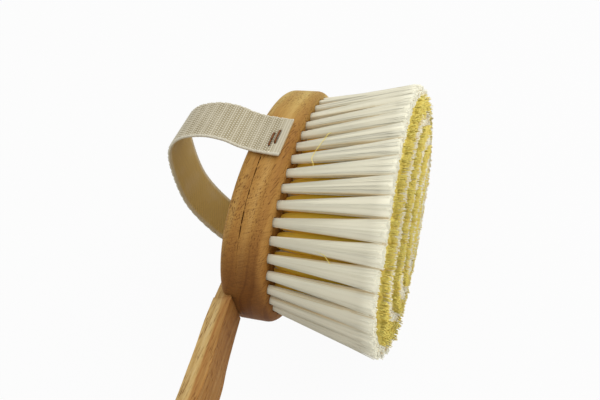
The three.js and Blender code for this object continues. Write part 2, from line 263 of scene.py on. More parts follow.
class NodeSheet:
    """A node tree of a material or of Geometry Nodes, and the one way to put nodes on it."""

    def __init__(self, tree: bpy.types.NodeTree) -> None:
        """Takes the tree to write on."""
        self.tree = tree

    def add(
        self,
        kind: str,
        settings: Optional[Mapping[str, Any]] = None,
        feeds: Optional[Mapping[Any, Feed]] = None,
    ) -> bpy.types.Node:
        """Adds a node, sets its settings first, and then its sockets.

        Args:
            kind: The node's type.
            settings: Its settings by name; "stops" are a ramp's (position, colour) pairs.
            feeds: Values or signals by socket name or number.

        Returns:
            The node.
        """
        node = self.tree.nodes.new(kind)
        for name, value in (settings or {}).items():
            if name == "stops":
                self._set_stops(node, value)
            else:
                setattr(node, name, value)
        for key, value in (feeds or {}).items():
            self._feed(node.inputs[key], value)
        return node

    def _feed(self, socket: bpy.types.NodeSocket, value: Feed) -> None:
        """Links a signal to a socket, or writes a value in it.

        Args:
            socket: The socket.
            value: The signal or the value.
        """
        if isinstance(value, Signal):
            self.tree.links.new(value.socket, socket)
            return
        if hasattr(socket, "default_value") and hasattr(socket.default_value, "__len__"):
            if isinstance(value, (int, float)):
                value = [value] * len(socket.default_value)
            elif not isinstance(value, str) and len(value) == 3 and len(socket.default_value) == 4:
                value = (*value, 1.0)
        socket.default_value = value

    @staticmethod
    def _set_stops(node: bpy.types.Node, stops: Sequence[tuple[float, Colour]]) -> None:
        """Writes a colour ramp's stops.

        Args:
            node: The ramp.
            stops: Its (position, colour) pairs.
        """
        elements = node.color_ramp.elements
        while len(elements) < len(stops):
            elements.new(1.0)
        for element, (position, colour) in zip(elements, stops):
            element.position = position
            element.color = (*colour, 1.0)

    def signal(
        self,
        kind: str,
        output: Union[int, str] = 0,
        settings: Optional[Mapping[str, Any]] = None,
        feeds: Optional[Mapping[Any, Feed]] = None,
        vector: bool = False,
    ) -> Signal:
        """Adds a node and gives one of its outputs.

        Args:
            kind: The node's type.
            output: The output's number or name.
            settings: The node's settings.
            feeds: The node's values or links.
            vector: True if the output is a vector.

        Returns:
            The output as a signal.
        """
        return Signal(self, self.add(kind, settings, feeds).outputs[output], vector)

    def noise(self, where: Signal, detail: float = 2.0, rough: float = 0.5, scale: float = 1.0) -> Signal:
        """Noise at a place, about 0.5 in the middle.

        Args:
            where: The place.
            detail: How many finer layers it has.
            rough: How strong the finer layers are.
            scale: Its size.

        Returns:
            The noise as a value.
        """
        feeds = {"Vector": where, "Scale": scale, "Detail": detail, "Roughness": rough}
        return self.signal("ShaderNodeTexNoise", 0, {"noise_dimensions": "3D"}, feeds)

    def blend(self, factor: Feed, first: Feed, second: Feed, mode: str = "MIX") -> Signal:
        """Mixes two colours.

        Args:
            factor: The share of the second.
            first: The first colour.
            second: The second colour.
            mode: The Mix node's blend type.

        Returns:
            The colour.
        """
        settings = {"data_type": "RGBA", "blend_type": mode}
        return self.signal("ShaderNodeMix", 2, settings, {0: factor, 6: first, 7: second}, True)

    def ramp(self, at: Signal, stops: Sequence[tuple[float, Colour]]) -> Signal:
        """A colour ramp, read at a value from 0 to 1."""
        return self.signal("ShaderNodeValToRGB", 0, {"stops": stops}, {0: at}, True)

    def joined(self, first: Feed, second: Feed, third: Feed = 0.0) -> Signal:
        """A vector from three values."""
        return self.signal("ShaderNodeCombineXYZ", 0, feeds={0: first, 1: second, 2: third}, vector=True)

    def grain(self, where: Signal, grain: Grain) -> Signal:
        """Noise that is drawn out like wood grain.

        Args:
            where: The place in millimetres in the row frame.
            grain: How the noise is drawn out.

        Returns:
            The noise as a value.
        """
        return self.noise(where * (grain.along, grain.level, grain.across), grain.detail, grain.rough)

    def line_noise(self, at: Signal, detail: float) -> Signal:
        """Noise along one value, such as the way through growth rings."""
        feeds = {"W": at, "Detail": detail, "Scale": 1.0}
        return self.signal("ShaderNodeTexNoise", 0, {"noise_dimensions": "1D"}, feeds)

    def seen_directly(self) -> Signal:
        """1 for what the camera sees, also in a reflection or through glass, and 0 for bounced light.

        Returns:
            The mask.
        """
        path = self.add("ShaderNodeLightPath")
        camera, glossy, glass = (
            Signal(self, path.outputs[f"Is {kind} Ray"]) for kind in ("Camera", "Glossy", "Transmission")
        )
        return camera.larger(glossy).larger(glass)


class Finish:
    """A material that is made once and kept."""

    name: str
    _made: ClassVar[dict[str, bpy.types.Material]] = {}

    def material(self) -> bpy.types.Material:
        """The finish's material, made on first use.

        Returns:
            The material.
        """
        if self.name not in self._made:
            made = bpy.data.materials.new(self.name)
            made.use_nodes = True
            made.node_tree.nodes.clear()
            sheet = NodeSheet(made.node_tree)
            shader = self.shade(sheet)
            sheet.add("ShaderNodeOutputMaterial", feeds={"Surface": shader})
            self._made[self.name] = made
        return self._made[self.name]

    def shade(self, sheet: NodeSheet) -> Signal:
        """Writes the finish's nodes and gives its shader."""
        raise NotImplementedError

    @staticmethod
    def millimetres(sheet: NodeSheet) -> Signal:
        """The place on the piece in millimetres, in the row frame."""
        return sheet.signal("ShaderNodeTexCoord", "Object", vector=True) * (1 / MM)

    @staticmethod
    def attribute(sheet: NodeSheet, name: str) -> Signal:
        """A value that the mesh carries."""
        return sheet.signal("ShaderNodeAttribute", "Fac", {"attribute_name": name})

    @staticmethod
    def bump(sheet: NodeSheet, height: Signal, strength: float, distance: float) -> Signal:
        """A normal from a height, with its strength and its depth in metres."""
        feeds = {"Height": height, "Strength": strength, "Distance": distance}
        return sheet.signal("ShaderNodeBump", 0, feeds=feeds, vector=True)


@dataclass(frozen=True)
class BeechFinish(Finish):
    """Waxed beech: soft growth bands, fine fibre streaks, short dark flecks and darker end grain, with
    painted light and painted shade on some faces.
    """

    SWAY: ClassVar[Grain] = Grain(0.013, 0.03, 0.02)
    CLOUD: ClassVar[Grain] = Grain(0.02, 0.05, 0.05, 3.0)
    FIBRES: ClassVar[Grain] = Grain(0.07, 1.5, 1.5, 3.0, 0.6)
    FINE: ClassVar[Grain] = Grain(0.3, 5.0, 5.0, 2.0, 0.6)
    FLECK_ROOM: ClassVar[Grain] = Grain(0.05, 0.12, 0.12, 1.0)
    FLECK_WIDTH: ClassVar[float] = 2.3
    RAYS: ClassVar[Grain] = Grain(0.8, 1.7, 0.5, 2.0, 0.55)
    RING_SWAY: ClassVar[float] = 3.2
    HEART_SWAY: ClassVar[float] = 9.0
    HEART_START: ClassVar[float] = -82.6
    HEART_END: ClassVar[float] = -110.0
    NECK: ClassVar[Span] = (-104.0, -72.0)
    TOE: ClassVar[Span] = (-10.0, 50.0)
    HEEL: ClassVar[Span] = (-66.0, -40.0)
    BACK: ClassVar[Span] = (TRIM_LEVEL - 7.0, TRIM_LEVEL - 1.0)
    SCRATCHED: ClassVar[Span] = (-40.0, -2.0)
    SCRATCH_TURN: ClassVar[float] = math.radians(-63)
    SCRATCH_SIZE: ClassVar[Triple] = (7.0, 0.4, 2.0)
    RELIEF: ClassVar[float] = 0.00012

    name: str
    pale: Colour
    warm: Colour
    dark: Colour
    fleck: Colour
    end: Colour
    band_pitch: float
    band_tilt: float
    fleck_amount: float
    scratched: bool
    grain_slope: float = 0.0
    fleck_run: float = 0.09
    heart: Colour = NO_TINT
    heart_level: float = 4.0
    heart_slope: float = 0.0
    # Painted light and shade: neck and face are painted shade on faces towards the bristles, heel painted
    # shade at the handle end, toe painted light at the far end, and back a painted highlight on the cover's
    # back edge.
    neck: Colour = NO_TINT
    face: Colour = NO_TINT
    toe_light: Colour = NO_TINT
    heel_shade: Colour = NO_TINT
    back: Colour = NO_TINT

    def _bands(self, sheet: NodeSheet, where: Signal, sway: Signal, fibres: Signal, end: Signal) -> Signal:
        """The growth bands and lines, with dark rays on the end grain.

        Args:
            sheet: The sheet to write on.
            where: The place in millimetres.
            sway: How the bands wander.
            fibres: The fibre streaks.
            end: How far the surface faces along the grain.

        Returns:
            The colour.
        """
        _, level, across = where.parts()
        ring_place = (level + across * self.band_tilt) / self.band_pitch + sway * self.RING_SWAY
        rings = sheet.line_noise(ring_place, 2.5)
        cloud = sheet.grain(where, self.CLOUD)
        tone = rings.rise(0.2, 0.8) * 0.36 + cloud * 0.4 + fibres * 0.36
        wood = sheet.ramp(tone, [(0.25, self.dark), (0.55, self.warm), (0.85, self.pale)])
        rays = sheet.grain(where, self.RAYS)
        wood = sheet.blend(end * 0.85, wood, sheet.blend(rays, self.end, self.dark))
        lines = sheet.line_noise(ring_place * 1.6 + 7.0, 1.0)
        return sheet.blend(lines.rise(0.54, 0.68) * (end * 0.34 + 0.18), wood, self.fleck)

    def _tinted(self, sheet: NodeSheet, wood: Signal, where: Signal, sway: Signal) -> Signal:
        """The wood with its red heart, and the painted light and painted shade of one piece.

        Args:
            sheet: The sheet to write on.
            wood: The wood's colour.
            where: The place in millimetres.
            sway: How the bands wander.

        Returns:
            The colour.
        """
        along, level, _ = where.parts()
        front = self.attribute(sheet, "front_face")
        depth = TRIM_LEVEL - level + (sway - 0.5) * self.HEART_SWAY
        depth = depth + (along.larger(self.HEART_END) - self.HEART_START) * self.heart_slope
        # Apart from the heart, these tints are painted shade (neck, faces towards the bristles, handle end)
        # and painted light (far end, and a painted highlight on the back edge).
        tints = (
            (depth.rise(self.heart_level - 0.6, self.heart_level + 0.9), self.heart),
            (front, self.face),
            (front * along.rise(*self.NECK), self.neck),
            (along.rise(*self.TOE), self.toe_light),
            (1 - along.rise(*self.HEEL), self.heel_shade),
            (level.rise(*self.BACK), self.back),
        )
        for mask, tint in tints:
            wood = sheet.blend(mask, wood, wood * tint)
        return wood

    def _scratches(self, sheet: NodeSheet, where: Signal) -> Signal:
        """The slanting scratches that sanding left on the wall towards the handle.

        Args:
            sheet: The sheet to write on.
            where: The place in millimetres.

        Returns:
            The scratches as a mask.
        """
        along, level, across = where.parts()
        round_wall = sheet.joined(along + across.function("ABSOLUTE"), level)
        feeds = {"Vector": round_wall, "Rotation": (0.0, 0.0, self.SCRATCH_TURN), "Scale": self.SCRATCH_SIZE}
        turned = sheet.signal("ShaderNodeMapping", 0, {"vector_type": "TEXTURE"}, feeds, True)
        return sheet.noise(turned).rise(0.5, 0.64) * (1 - along.rise(*self.SCRATCHED))

    def shade(self, sheet: NodeSheet) -> Signal:
        """Writes the wood's nodes.

        Args:
            sheet: The sheet to write on.

        Returns:
            The shader.
        """
        where = self.millimetres(sheet)
        along, level, across = where.parts()
        sloped = sheet.joined(along, level + along * self.grain_slope, across)
        end = self.attribute(sheet, "end_grain")
        sway = sheet.grain(where, self.SWAY)
        fibres = sheet.grain(sloped, self.FIBRES)
        fine = sheet.grain(sloped, self.FINE)
        dashes = sheet.grain(sloped, Grain(self.fleck_run, self.FLECK_WIDTH, self.FLECK_WIDTH, 1.0, 0.4))
        room = sheet.grain(where, self.FLECK_ROOM)
        flecks = dashes.rise(0.6 - 0.06 * self.fleck_amount, 0.7) * room.rise(0.25, 0.55)
        wood = self._bands(sheet, where, sway, fibres, end)
        wood = self._tinted(sheet, wood, where, sway)
        wood = sheet.blend((fine - 0.5) * 0.35 + 0.12, wood, self.fleck)
        wood = sheet.blend(flecks * (0.8 - end * 0.5), wood, self.fleck)
        height = fibres * 0.5 + fine * 0.3 - flecks * 0.8
        if self.scratched:
            scratches = self._scratches(sheet, where)
            wood = sheet.blend(scratches * 0.36, wood, self.fleck)
            height = height - scratches * 0.4
        feeds = {
            "Base Color": wood, "Roughness": 0.56 + fine * 0.16 + flecks * 0.1,
            "Normal": self.bump(sheet, height, 0.35, self.RELIEF), "Specular IOR Level": 0.18,
        }
        return sheet.signal("ShaderNodeBsdfPrincipled", 0, feeds=feeds)


@dataclass(frozen=True)
class FibreFinish(Finish):
    """Bristle fibre: a tone of its own, painted shade in gold where tufts touch, painted shade down the fibre
    under its tip, and a painted glow that is strongest at its end.
    """

    FOOT_END: ClassVar[float] = 0.4
    TIP_START: ClassVar[float] = 0.86

    name: str
    light: Colour
    deep: Colour
    # Painted shade in gold where tufts touch.
    painted_gold_shade: Colour
    # Painted shade down the fibres, under their tips.
    shade_under_tips: Colour
    foot: Colour
    # A painted glow, given as emission.
    glow_below: float
    glow_tip: float

    def shade(self, sheet: NodeSheet) -> Signal:
        """Writes the fibre's nodes.

        Args:
            sheet: The sheet to write on.

        Returns:
            The shader.
        """
        run = self.attribute(sheet, "run")
        # The ramp's low end is painted shade where tufts touch.
        stops = [(0.0, self.painted_gold_shade), (0.35, self.deep), (1.0, self.light)]
        body = sheet.ramp(self.attribute(sheet, "tone"), stops)
        # Painted shade down the fibres, under their tips.
        body = sheet.blend(1 - run.rise(self.TIP_START, 0.96), body, body * self.shade_under_tips)
        body = sheet.blend((1 - run.rise(0.0, self.FOOT_END)) * 0.55, body, self.foot)
        # A painted glow: emission in the fibre's own colour, strongest at its tip.
        glow = run.rise(self.TIP_START, 0.99) * (self.glow_tip - self.glow_below) + self.glow_below
        feeds = {
            "Base Color": body, "Roughness": 0.5, "Specular IOR Level": 0.35,
            "Emission Color": sheet.blend(glow, (0.0, 0.0, 0.0), body), "Emission Strength": 1.0,
        }
        return sheet.signal("ShaderNodeBsdfPrincipled", 0, feeds=feeds)


@dataclass(frozen=True)
class WebbingFinish(Finish):
    """Cotton webbing: light yarn crowns with painted shade between the yarns, and an inner face in painted
    warm shade and bounce light.
    """

    TWILL: ClassVar[Span] = (3.6, 2.2)
    SELVAGE: ClassVar[Span] = (9.2, 11.4)
    RELIEF: ClassVar[float] = 0.00008

    name: str
    crown: Colour
    # Painted shade between the yarns.
    yarn_shade: Colour
    # The inner face's colour: painted shade, warmed as painted light bounced off the wood.
    inner: Colour

    def shade(self, sheet: NodeSheet) -> Signal:
        """Writes the webbing's nodes.

        Args:
            sheet: The sheet to write on.

        Returns:
            The shader.
        """
        where = self.millimetres(sheet)
        relief = self.attribute(sheet, "relief")
        inside = self.attribute(sheet, "inside")
        yarn = sheet.noise(where * 2.2, 3.0, 0.6)
        patch = sheet.noise(where * 0.09, 2.0)
        # Painted shade between the yarns, by the relief mask of how lit the outer face is painted.
        cloth = sheet.blend(relief.rise(0.08, 0.75), self.yarn_shade, self.crown)
        run, across = self.attribute(sheet, "strap_run"), self.attribute(sheet, "strap_across")
        twill = (run * self.TWILL[0] + across * self.TWILL[1]).function("SINE") * 0.5 + 0.5
        # The inner face in painted shade and painted bounce light from the wood, with the weave's twill
        # lines.
        inner = sheet.blend(twill * 0.28, self.inner, tuple(0.62 * part for part in self.inner))
        inner = sheet.blend(across.function("ABSOLUTE").rise(*self.SELVAGE) * 0.55, inner, self.crown)
        cloth = sheet.blend(inside, cloth, inner)
        cloth = sheet.blend((yarn - 0.4) * 0.5, cloth, self.yarn_shade)
        cloth = sheet.blend((patch - 0.45) * 0.5, cloth, self.crown)
        normal = self.bump(sheet, sheet.noise(where * 6.0, 2.0, 0.6), 0.4, self.RELIEF)
        feeds = {
            "Base Color": cloth, "Roughness": 0.82 + yarn * 0.14, "Normal": normal, "Specular IOR Level": 0.2,
            "Sheen Weight": 0.15, "Sheen Roughness": 0.5,
        }
        return sheet.signal("ShaderNodeBsdfPrincipled", 0, feeds=feeds)


@dataclass(frozen=True)
class MetalFinish(Finish):
    """Drawn wire: fine drawing lines and dull spots."""

    name: str
    bright: Colour
    dull: Colour

    def shade(self, sheet: NodeSheet) -> Signal:
        """Writes the wire's nodes.

        Args:
            sheet: The sheet to write on.

        Returns:
            The shader.
        """
        where = self.millimetres(sheet)
        spots = sheet.noise(where * 0.9, 3.0, 0.6)
        lines = sheet.noise(where * (0.4, 7.0, 7.0), 2.0)
        feeds = {
            "Base Color": sheet.blend(spots.rise(0.4, 0.7), self.bright, self.dull),
            "Metallic": 1.0,
            "Roughness": 0.28 + lines * 0.22,
        }
        return sheet.signal("ShaderNodeBsdfPrincipled", 0, feeds=feeds)


@dataclass(frozen=True)
class FloorFinish(Finish):
    """A pale studio floor that shows white to the camera and still takes a soft shadow."""

    name: str
    colour: Colour
    glow: float

    def shade(self, sheet: NodeSheet) -> Signal:
        """Writes the floor's nodes.

        Args:
            sheet: The sheet to write on.

        Returns:
            The shader.
        """
        direct = sheet.seen_directly()
        plain = sheet.signal("ShaderNodeBsdfDiffuse", 0, feeds={"Color": self.colour})
        white = sheet.signal("ShaderNodeEmission", 0, feeds={"Color": (1.0, 1.0, 1.0), "Strength": 1.0})
        return sheet.signal("ShaderNodeMixShader", 0, feeds={0: direct * self.glow, 1: plain, 2: white})


# The head's face and heel tints are painted shade, toe is painted light and back a painted highlight; its end
# colour is end grain darkened further as painted shade.
HEAD_BEECH = BeechFinish(
    name="waxed_beech_head", pale=paint(201, 157, 88), warm=paint(183, 135, 66), dark=paint(160, 110, 50),
    fleck=paint(98, 58, 22), end=paint(80, 47, 21), band_pitch=5.0, band_tilt=0.16, fleck_amount=1.0,
    scratched=True, grain_slope=0.28, face=(0.9, 0.86, 0.8), toe_light=(1.2, 1.56, 1.8), heel_shade=(0.8, 0.68, 0.57),
    back=(1.16, 1.26, 1.36),
)
# The handle's heart is its red heart; its face and neck tints are painted shade on the face towards the
# bristles.
HANDLE_BEECH = BeechFinish(
    name="waxed_beech_handle", pale=paint(222, 200, 148), warm=paint(204, 170, 106), dark=paint(168, 116, 60),
    fleck=paint(112, 68, 28), end=paint(150, 102, 50), band_pitch=3.6, band_tilt=0.8, fleck_amount=0.85,
    scratched=False, fleck_run=0.2, heart=(0.79, 0.63, 0.5), heart_level=3.2, heart_slope=0.135,
    face=(0.84, 0.74, 0.6), neck=(0.8, 0.72, 0.62),
)
# The gold colours are painted shade where tufts touch, the tint after them painted shade under the tips, and
# the glow values a painted glow.
IVORY_FIBRE = FibreFinish(
    name="ivory_bristle", light=paint(237, 234, 213), deep=paint(230, 225, 200), painted_gold_shade=paint(204, 168, 96),
    shade_under_tips=(1.0, 0.99, 0.97), foot=paint(240, 233, 210), glow_below=0.03, glow_tip=0.24,
)
STRAW_FIBRE = FibreFinish(
    name="straw_bristle", light=paint(241, 225, 118), deep=paint(237, 209, 96), painted_gold_shade=paint(231, 193, 82),
    shade_under_tips=(0.9, 0.69, 0.26), foot=paint(236, 192, 78), glow_below=0.05, glow_tip=0.06,
)
# The dark yarn colour is painted shade between the yarns, and inner is the inner face's painted warm shade.
WEBBING = WebbingFinish(
    name="cotton_webbing", crown=paint(219, 212, 191), yarn_shade=paint(162, 150, 119), inner=paint(203, 172, 98),
)
COPPER = MetalFinish(name="copper_wire", bright=paint(136, 88, 52), dull=paint(64, 40, 26))
STEEL = MetalFinish(name="drawn_steel_wire", bright=paint(186, 186, 182), dull=paint(140, 140, 136))
FLOOR = FloorFinish(name="studio_floor", colour=paint(186, 186, 186), glow=0.95)


def mesh_piece(
    name: str, points: np.ndarray, faces: Iterable[Sequence[int]], smooth_under: float = SMOOTH_UNDER,
) -> bpy.types.Object:
    """Makes an object at the origin from points in the row frame.

    Args:
        name: The piece's name.
        points: Its points in metres.
        faces: Its faces, each a row of point numbers.
        smooth_under: The angle in degrees under which an edge is shaded smooth.

    Returns:
        The object, linked to the scene.
    """
    mesh = bpy.data.meshes.new(name)
    rows = np.asarray(points, float).reshape(-1, 3).tolist()
    mesh.from_pydata(rows, [], [list(map(int, face)) for face in faces])
    mesh.validate()
    soften(mesh, smooth_under)
    piece = bpy.data.objects.new(name, mesh)
    bpy.context.scene.collection.objects.link(piece)
    return piece


def soften(mesh: bpy.types.Mesh, smooth_under: float) -> None:
    """Shades a mesh smooth, apart from its edges past an angle in degrees."""
    mesh.polygons.foreach_set("use_smooth", [True] * len(mesh.polygons))
    mesh.set_sharp_from_angle(angle=math.radians(smooth_under))


def skin_piece(name: str, skin: Skin, smooth_under: float = SMOOTH_UNDER) -> bpy.types.Object:
    """Makes an object from a skin in brush millimetres.

    Args:
        name: The piece's name.
        skin: Its points and faces.
        smooth_under: The angle in degrees under which an edge is shaded smooth.

    Returns:
        The object, linked to the scene.
    """
    points, faces = skin
    return mesh_piece(name, placed(points), faces, smooth_under)


def loft(rings: Sequence[np.ndarray]) -> Skin:
    """Joins closed rings of points, counter-clockwise seen from the last one, into a capped skin.

    Args:
        rings: The rings, all with the same number of points.

    Returns:
        The points and the faces.
    """
    count = len(rings[0])
    faces = [list(range(count))[::-1]]
    for row in range(len(rings) - 1):
        low, high = row * count, (row + 1) * count
        for i in range(count):
            j = (i + 1) % count
            faces.append([low + i, low + j, high + j, high + i])
    faces.append([(len(rings) - 1) * count + i for i in range(count)])
    return np.concatenate(rings), faces


def joined_skins(skins: Sequence[Skin]) -> Skin:
    """Puts separate skins into one list of points and faces.

    Args:
        skins: The skins.

    Returns:
        The points and the faces.
    """
    points, faces, start = [], [], 0
    for skin_points, skin_faces in skins:
        points.append(skin_points)
        faces += [[start + i for i in face] for face in skin_faces]
        start += len(skin_points)
    return np.concatenate(points), faces


def settle(piece: bpy.types.Object) -> None:
    """Turns a piece's modifiers into plain mesh.

    Args:
        piece: The piece to work on.
    """
    bpy.context.view_layer.update()
    graph = bpy.context.evaluated_depsgraph_get()
    made = bpy.data.meshes.new_from_object(piece.evaluated_get(graph), depsgraph=graph)
    piece.modifiers.clear()
    old = piece.data
    piece.data = made
    bpy.data.meshes.remove(old)


def carve(piece: bpy.types.Object, tool: bpy.types.Object, operation: str) -> None:
    """Cuts a tool from a piece, or adds it, and removes the tool.

    Args:
        piece: The piece to work on.
        tool: The other shape.
        operation: DIFFERENCE or UNION.
    """
    cut = piece.modifiers.new("carve", "BOOLEAN")
    cut.operation = operation
    cut.solver = "EXACT"
    cut.object = tool
    settle(piece)
    bpy.data.objects.remove(tool)
    soften(piece.data, SMOOTH_UNDER)


def set_values(mesh: bpy.types.Mesh, name: str, values: Sequence[float]) -> None:
    """Writes one value for each point of a mesh, for its material to read."""
    store = mesh.attributes.new(name, "FLOAT", "POINT")
    store.data.foreach_set("value", np.asarray(values, np.float32))


def mark_grain(mesh: bpy.types.Mesh) -> None:
    """Writes how far each point's surface faces along the grain, and how far it faces the bristles' side,
    where the wood gets painted shade.

    Args:
        mesh: The mesh to write on.
    """
    normals = np.zeros(len(mesh.vertices) * 3, np.float32)
    mesh.vertex_normals.foreach_get("vector", normals)
    along, back, _ = normals.reshape(-1, 3).T
    set_values(mesh, "end_grain", smooth_step(0.45, 0.95, np.abs(along)))
    set_values(mesh, "front_face", smooth_step(0.3, 0.8, -back))


def hand_over(
    piece: bpy.types.Object, finish: Finish, body: Body, nodes: Sequence[str] = (),
) -> bpy.types.Object:
    """Dresses a finished piece and gives it to the frame.

    Args:
        piece: The piece, in place.
        finish: Its finish.
        body: The body that it rides on.
        nodes: The CAD nodes that it stands for.

    Returns:
        The piece.
    """
    piece.data.materials.clear()
    piece.data.materials.append(finish.material())
    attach(piece, body.value)
    if nodes:
        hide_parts(*nodes)
    LOG.info("%s: %d faces on %s", piece.name, len(piece.data.polygons), body.value)
    return piece


@dataclass(frozen=True)
class Oval:
    """The squarish oval that the head and its rows of tufts share."""

    power: float = 2.18
    dense: int = 4096

    def points(self, half_length: float, half_width: float, count: int) -> np.ndarray:
        """Points at even angles, counter-clockwise from the handle's end.

        Args:
            half_length: Half the oval's length.
            half_width: Half its width.
            count: How many points.

        Returns:
            The points, (along, across).
        """
        angle = -math.pi + 2 * math.pi * np.arange(count) / count
        bent = 2 / self.power
        along = half_length * np.sign(np.cos(angle)) * np.abs(np.cos(angle)) ** bent
        across = half_width * np.sign(np.sin(angle)) * np.abs(np.sin(angle)) ** bent
        return np.stack([along, across], axis=-1)

    def _closed(self, half_length: float, half_width: float) -> tuple[np.ndarray, np.ndarray]:
        """A finely measured oval that ends where it starts, and the lengths of its steps.

        Args:
            half_length: Half the oval's length.
            half_width: Half its width.

        Returns:
            The points and the lengths.
        """
        line = self.points(half_length, half_width, self.dense)
        line = np.concatenate([line, line[:1]])
        return line, np.linalg.norm(np.diff(line, axis=0), axis=1)

    def spaced(self, half_length: float, half_width: float, count: int) -> np.ndarray:
        """Points at even distances round the oval, from the handle's end.

        Args:
            half_length: Half the oval's length.
            half_width: Half its width.
            count: How many points.

        Returns:
            The points, (along, across).
        """
        line, steps = self._closed(half_length, half_width)
        run = np.concatenate([[0], np.cumsum(steps)])
        at = run[-1] * np.arange(count) / count
        return np.stack([np.interp(at, run, line[:, 0]), np.interp(at, run, line[:, 1])], axis=-1)

    def length_of(self, half_length: float, half_width: float) -> float:
        """The distance round an oval."""
        return float(self._closed(half_length, half_width)[1].sum())

    def outward(self, points: np.ndarray, half_length: float, half_width: float) -> np.ndarray:
        """The outward directions at points on an oval.

        Args:
            points: Points on the oval.
            half_length: Half the oval's length.
            half_width: Half its width.

        Returns:
            A unit direction for each point.
        """
        half = np.array([half_length, half_width])
        slope = np.sign(points) * np.abs(points / half) ** (self.power - 1) / half
        return slope / np.linalg.norm(slope, axis=1, keepdims=True)


@dataclass(frozen=True)
class Tuft:
    """One tuft: its foot on the plate, its tip's middle, its way out of the brush and its ring's share."""

    foot: np.ndarray
    tip: np.ndarray
    outward: np.ndarray
    rim: float


@dataclass
class TuftRow:
    """One row of tufts with the sizes that its fibres need."""

    tufts: list[Tuft]
    tip_radius: float
    tip_depth: float
    foot_radius: float = 1.85
    fibres: int = 280
    flare_power: float = 1.05
    core_end: float = 0.95
    ragged: float = 1.4
    outer_reach: float = 0.0


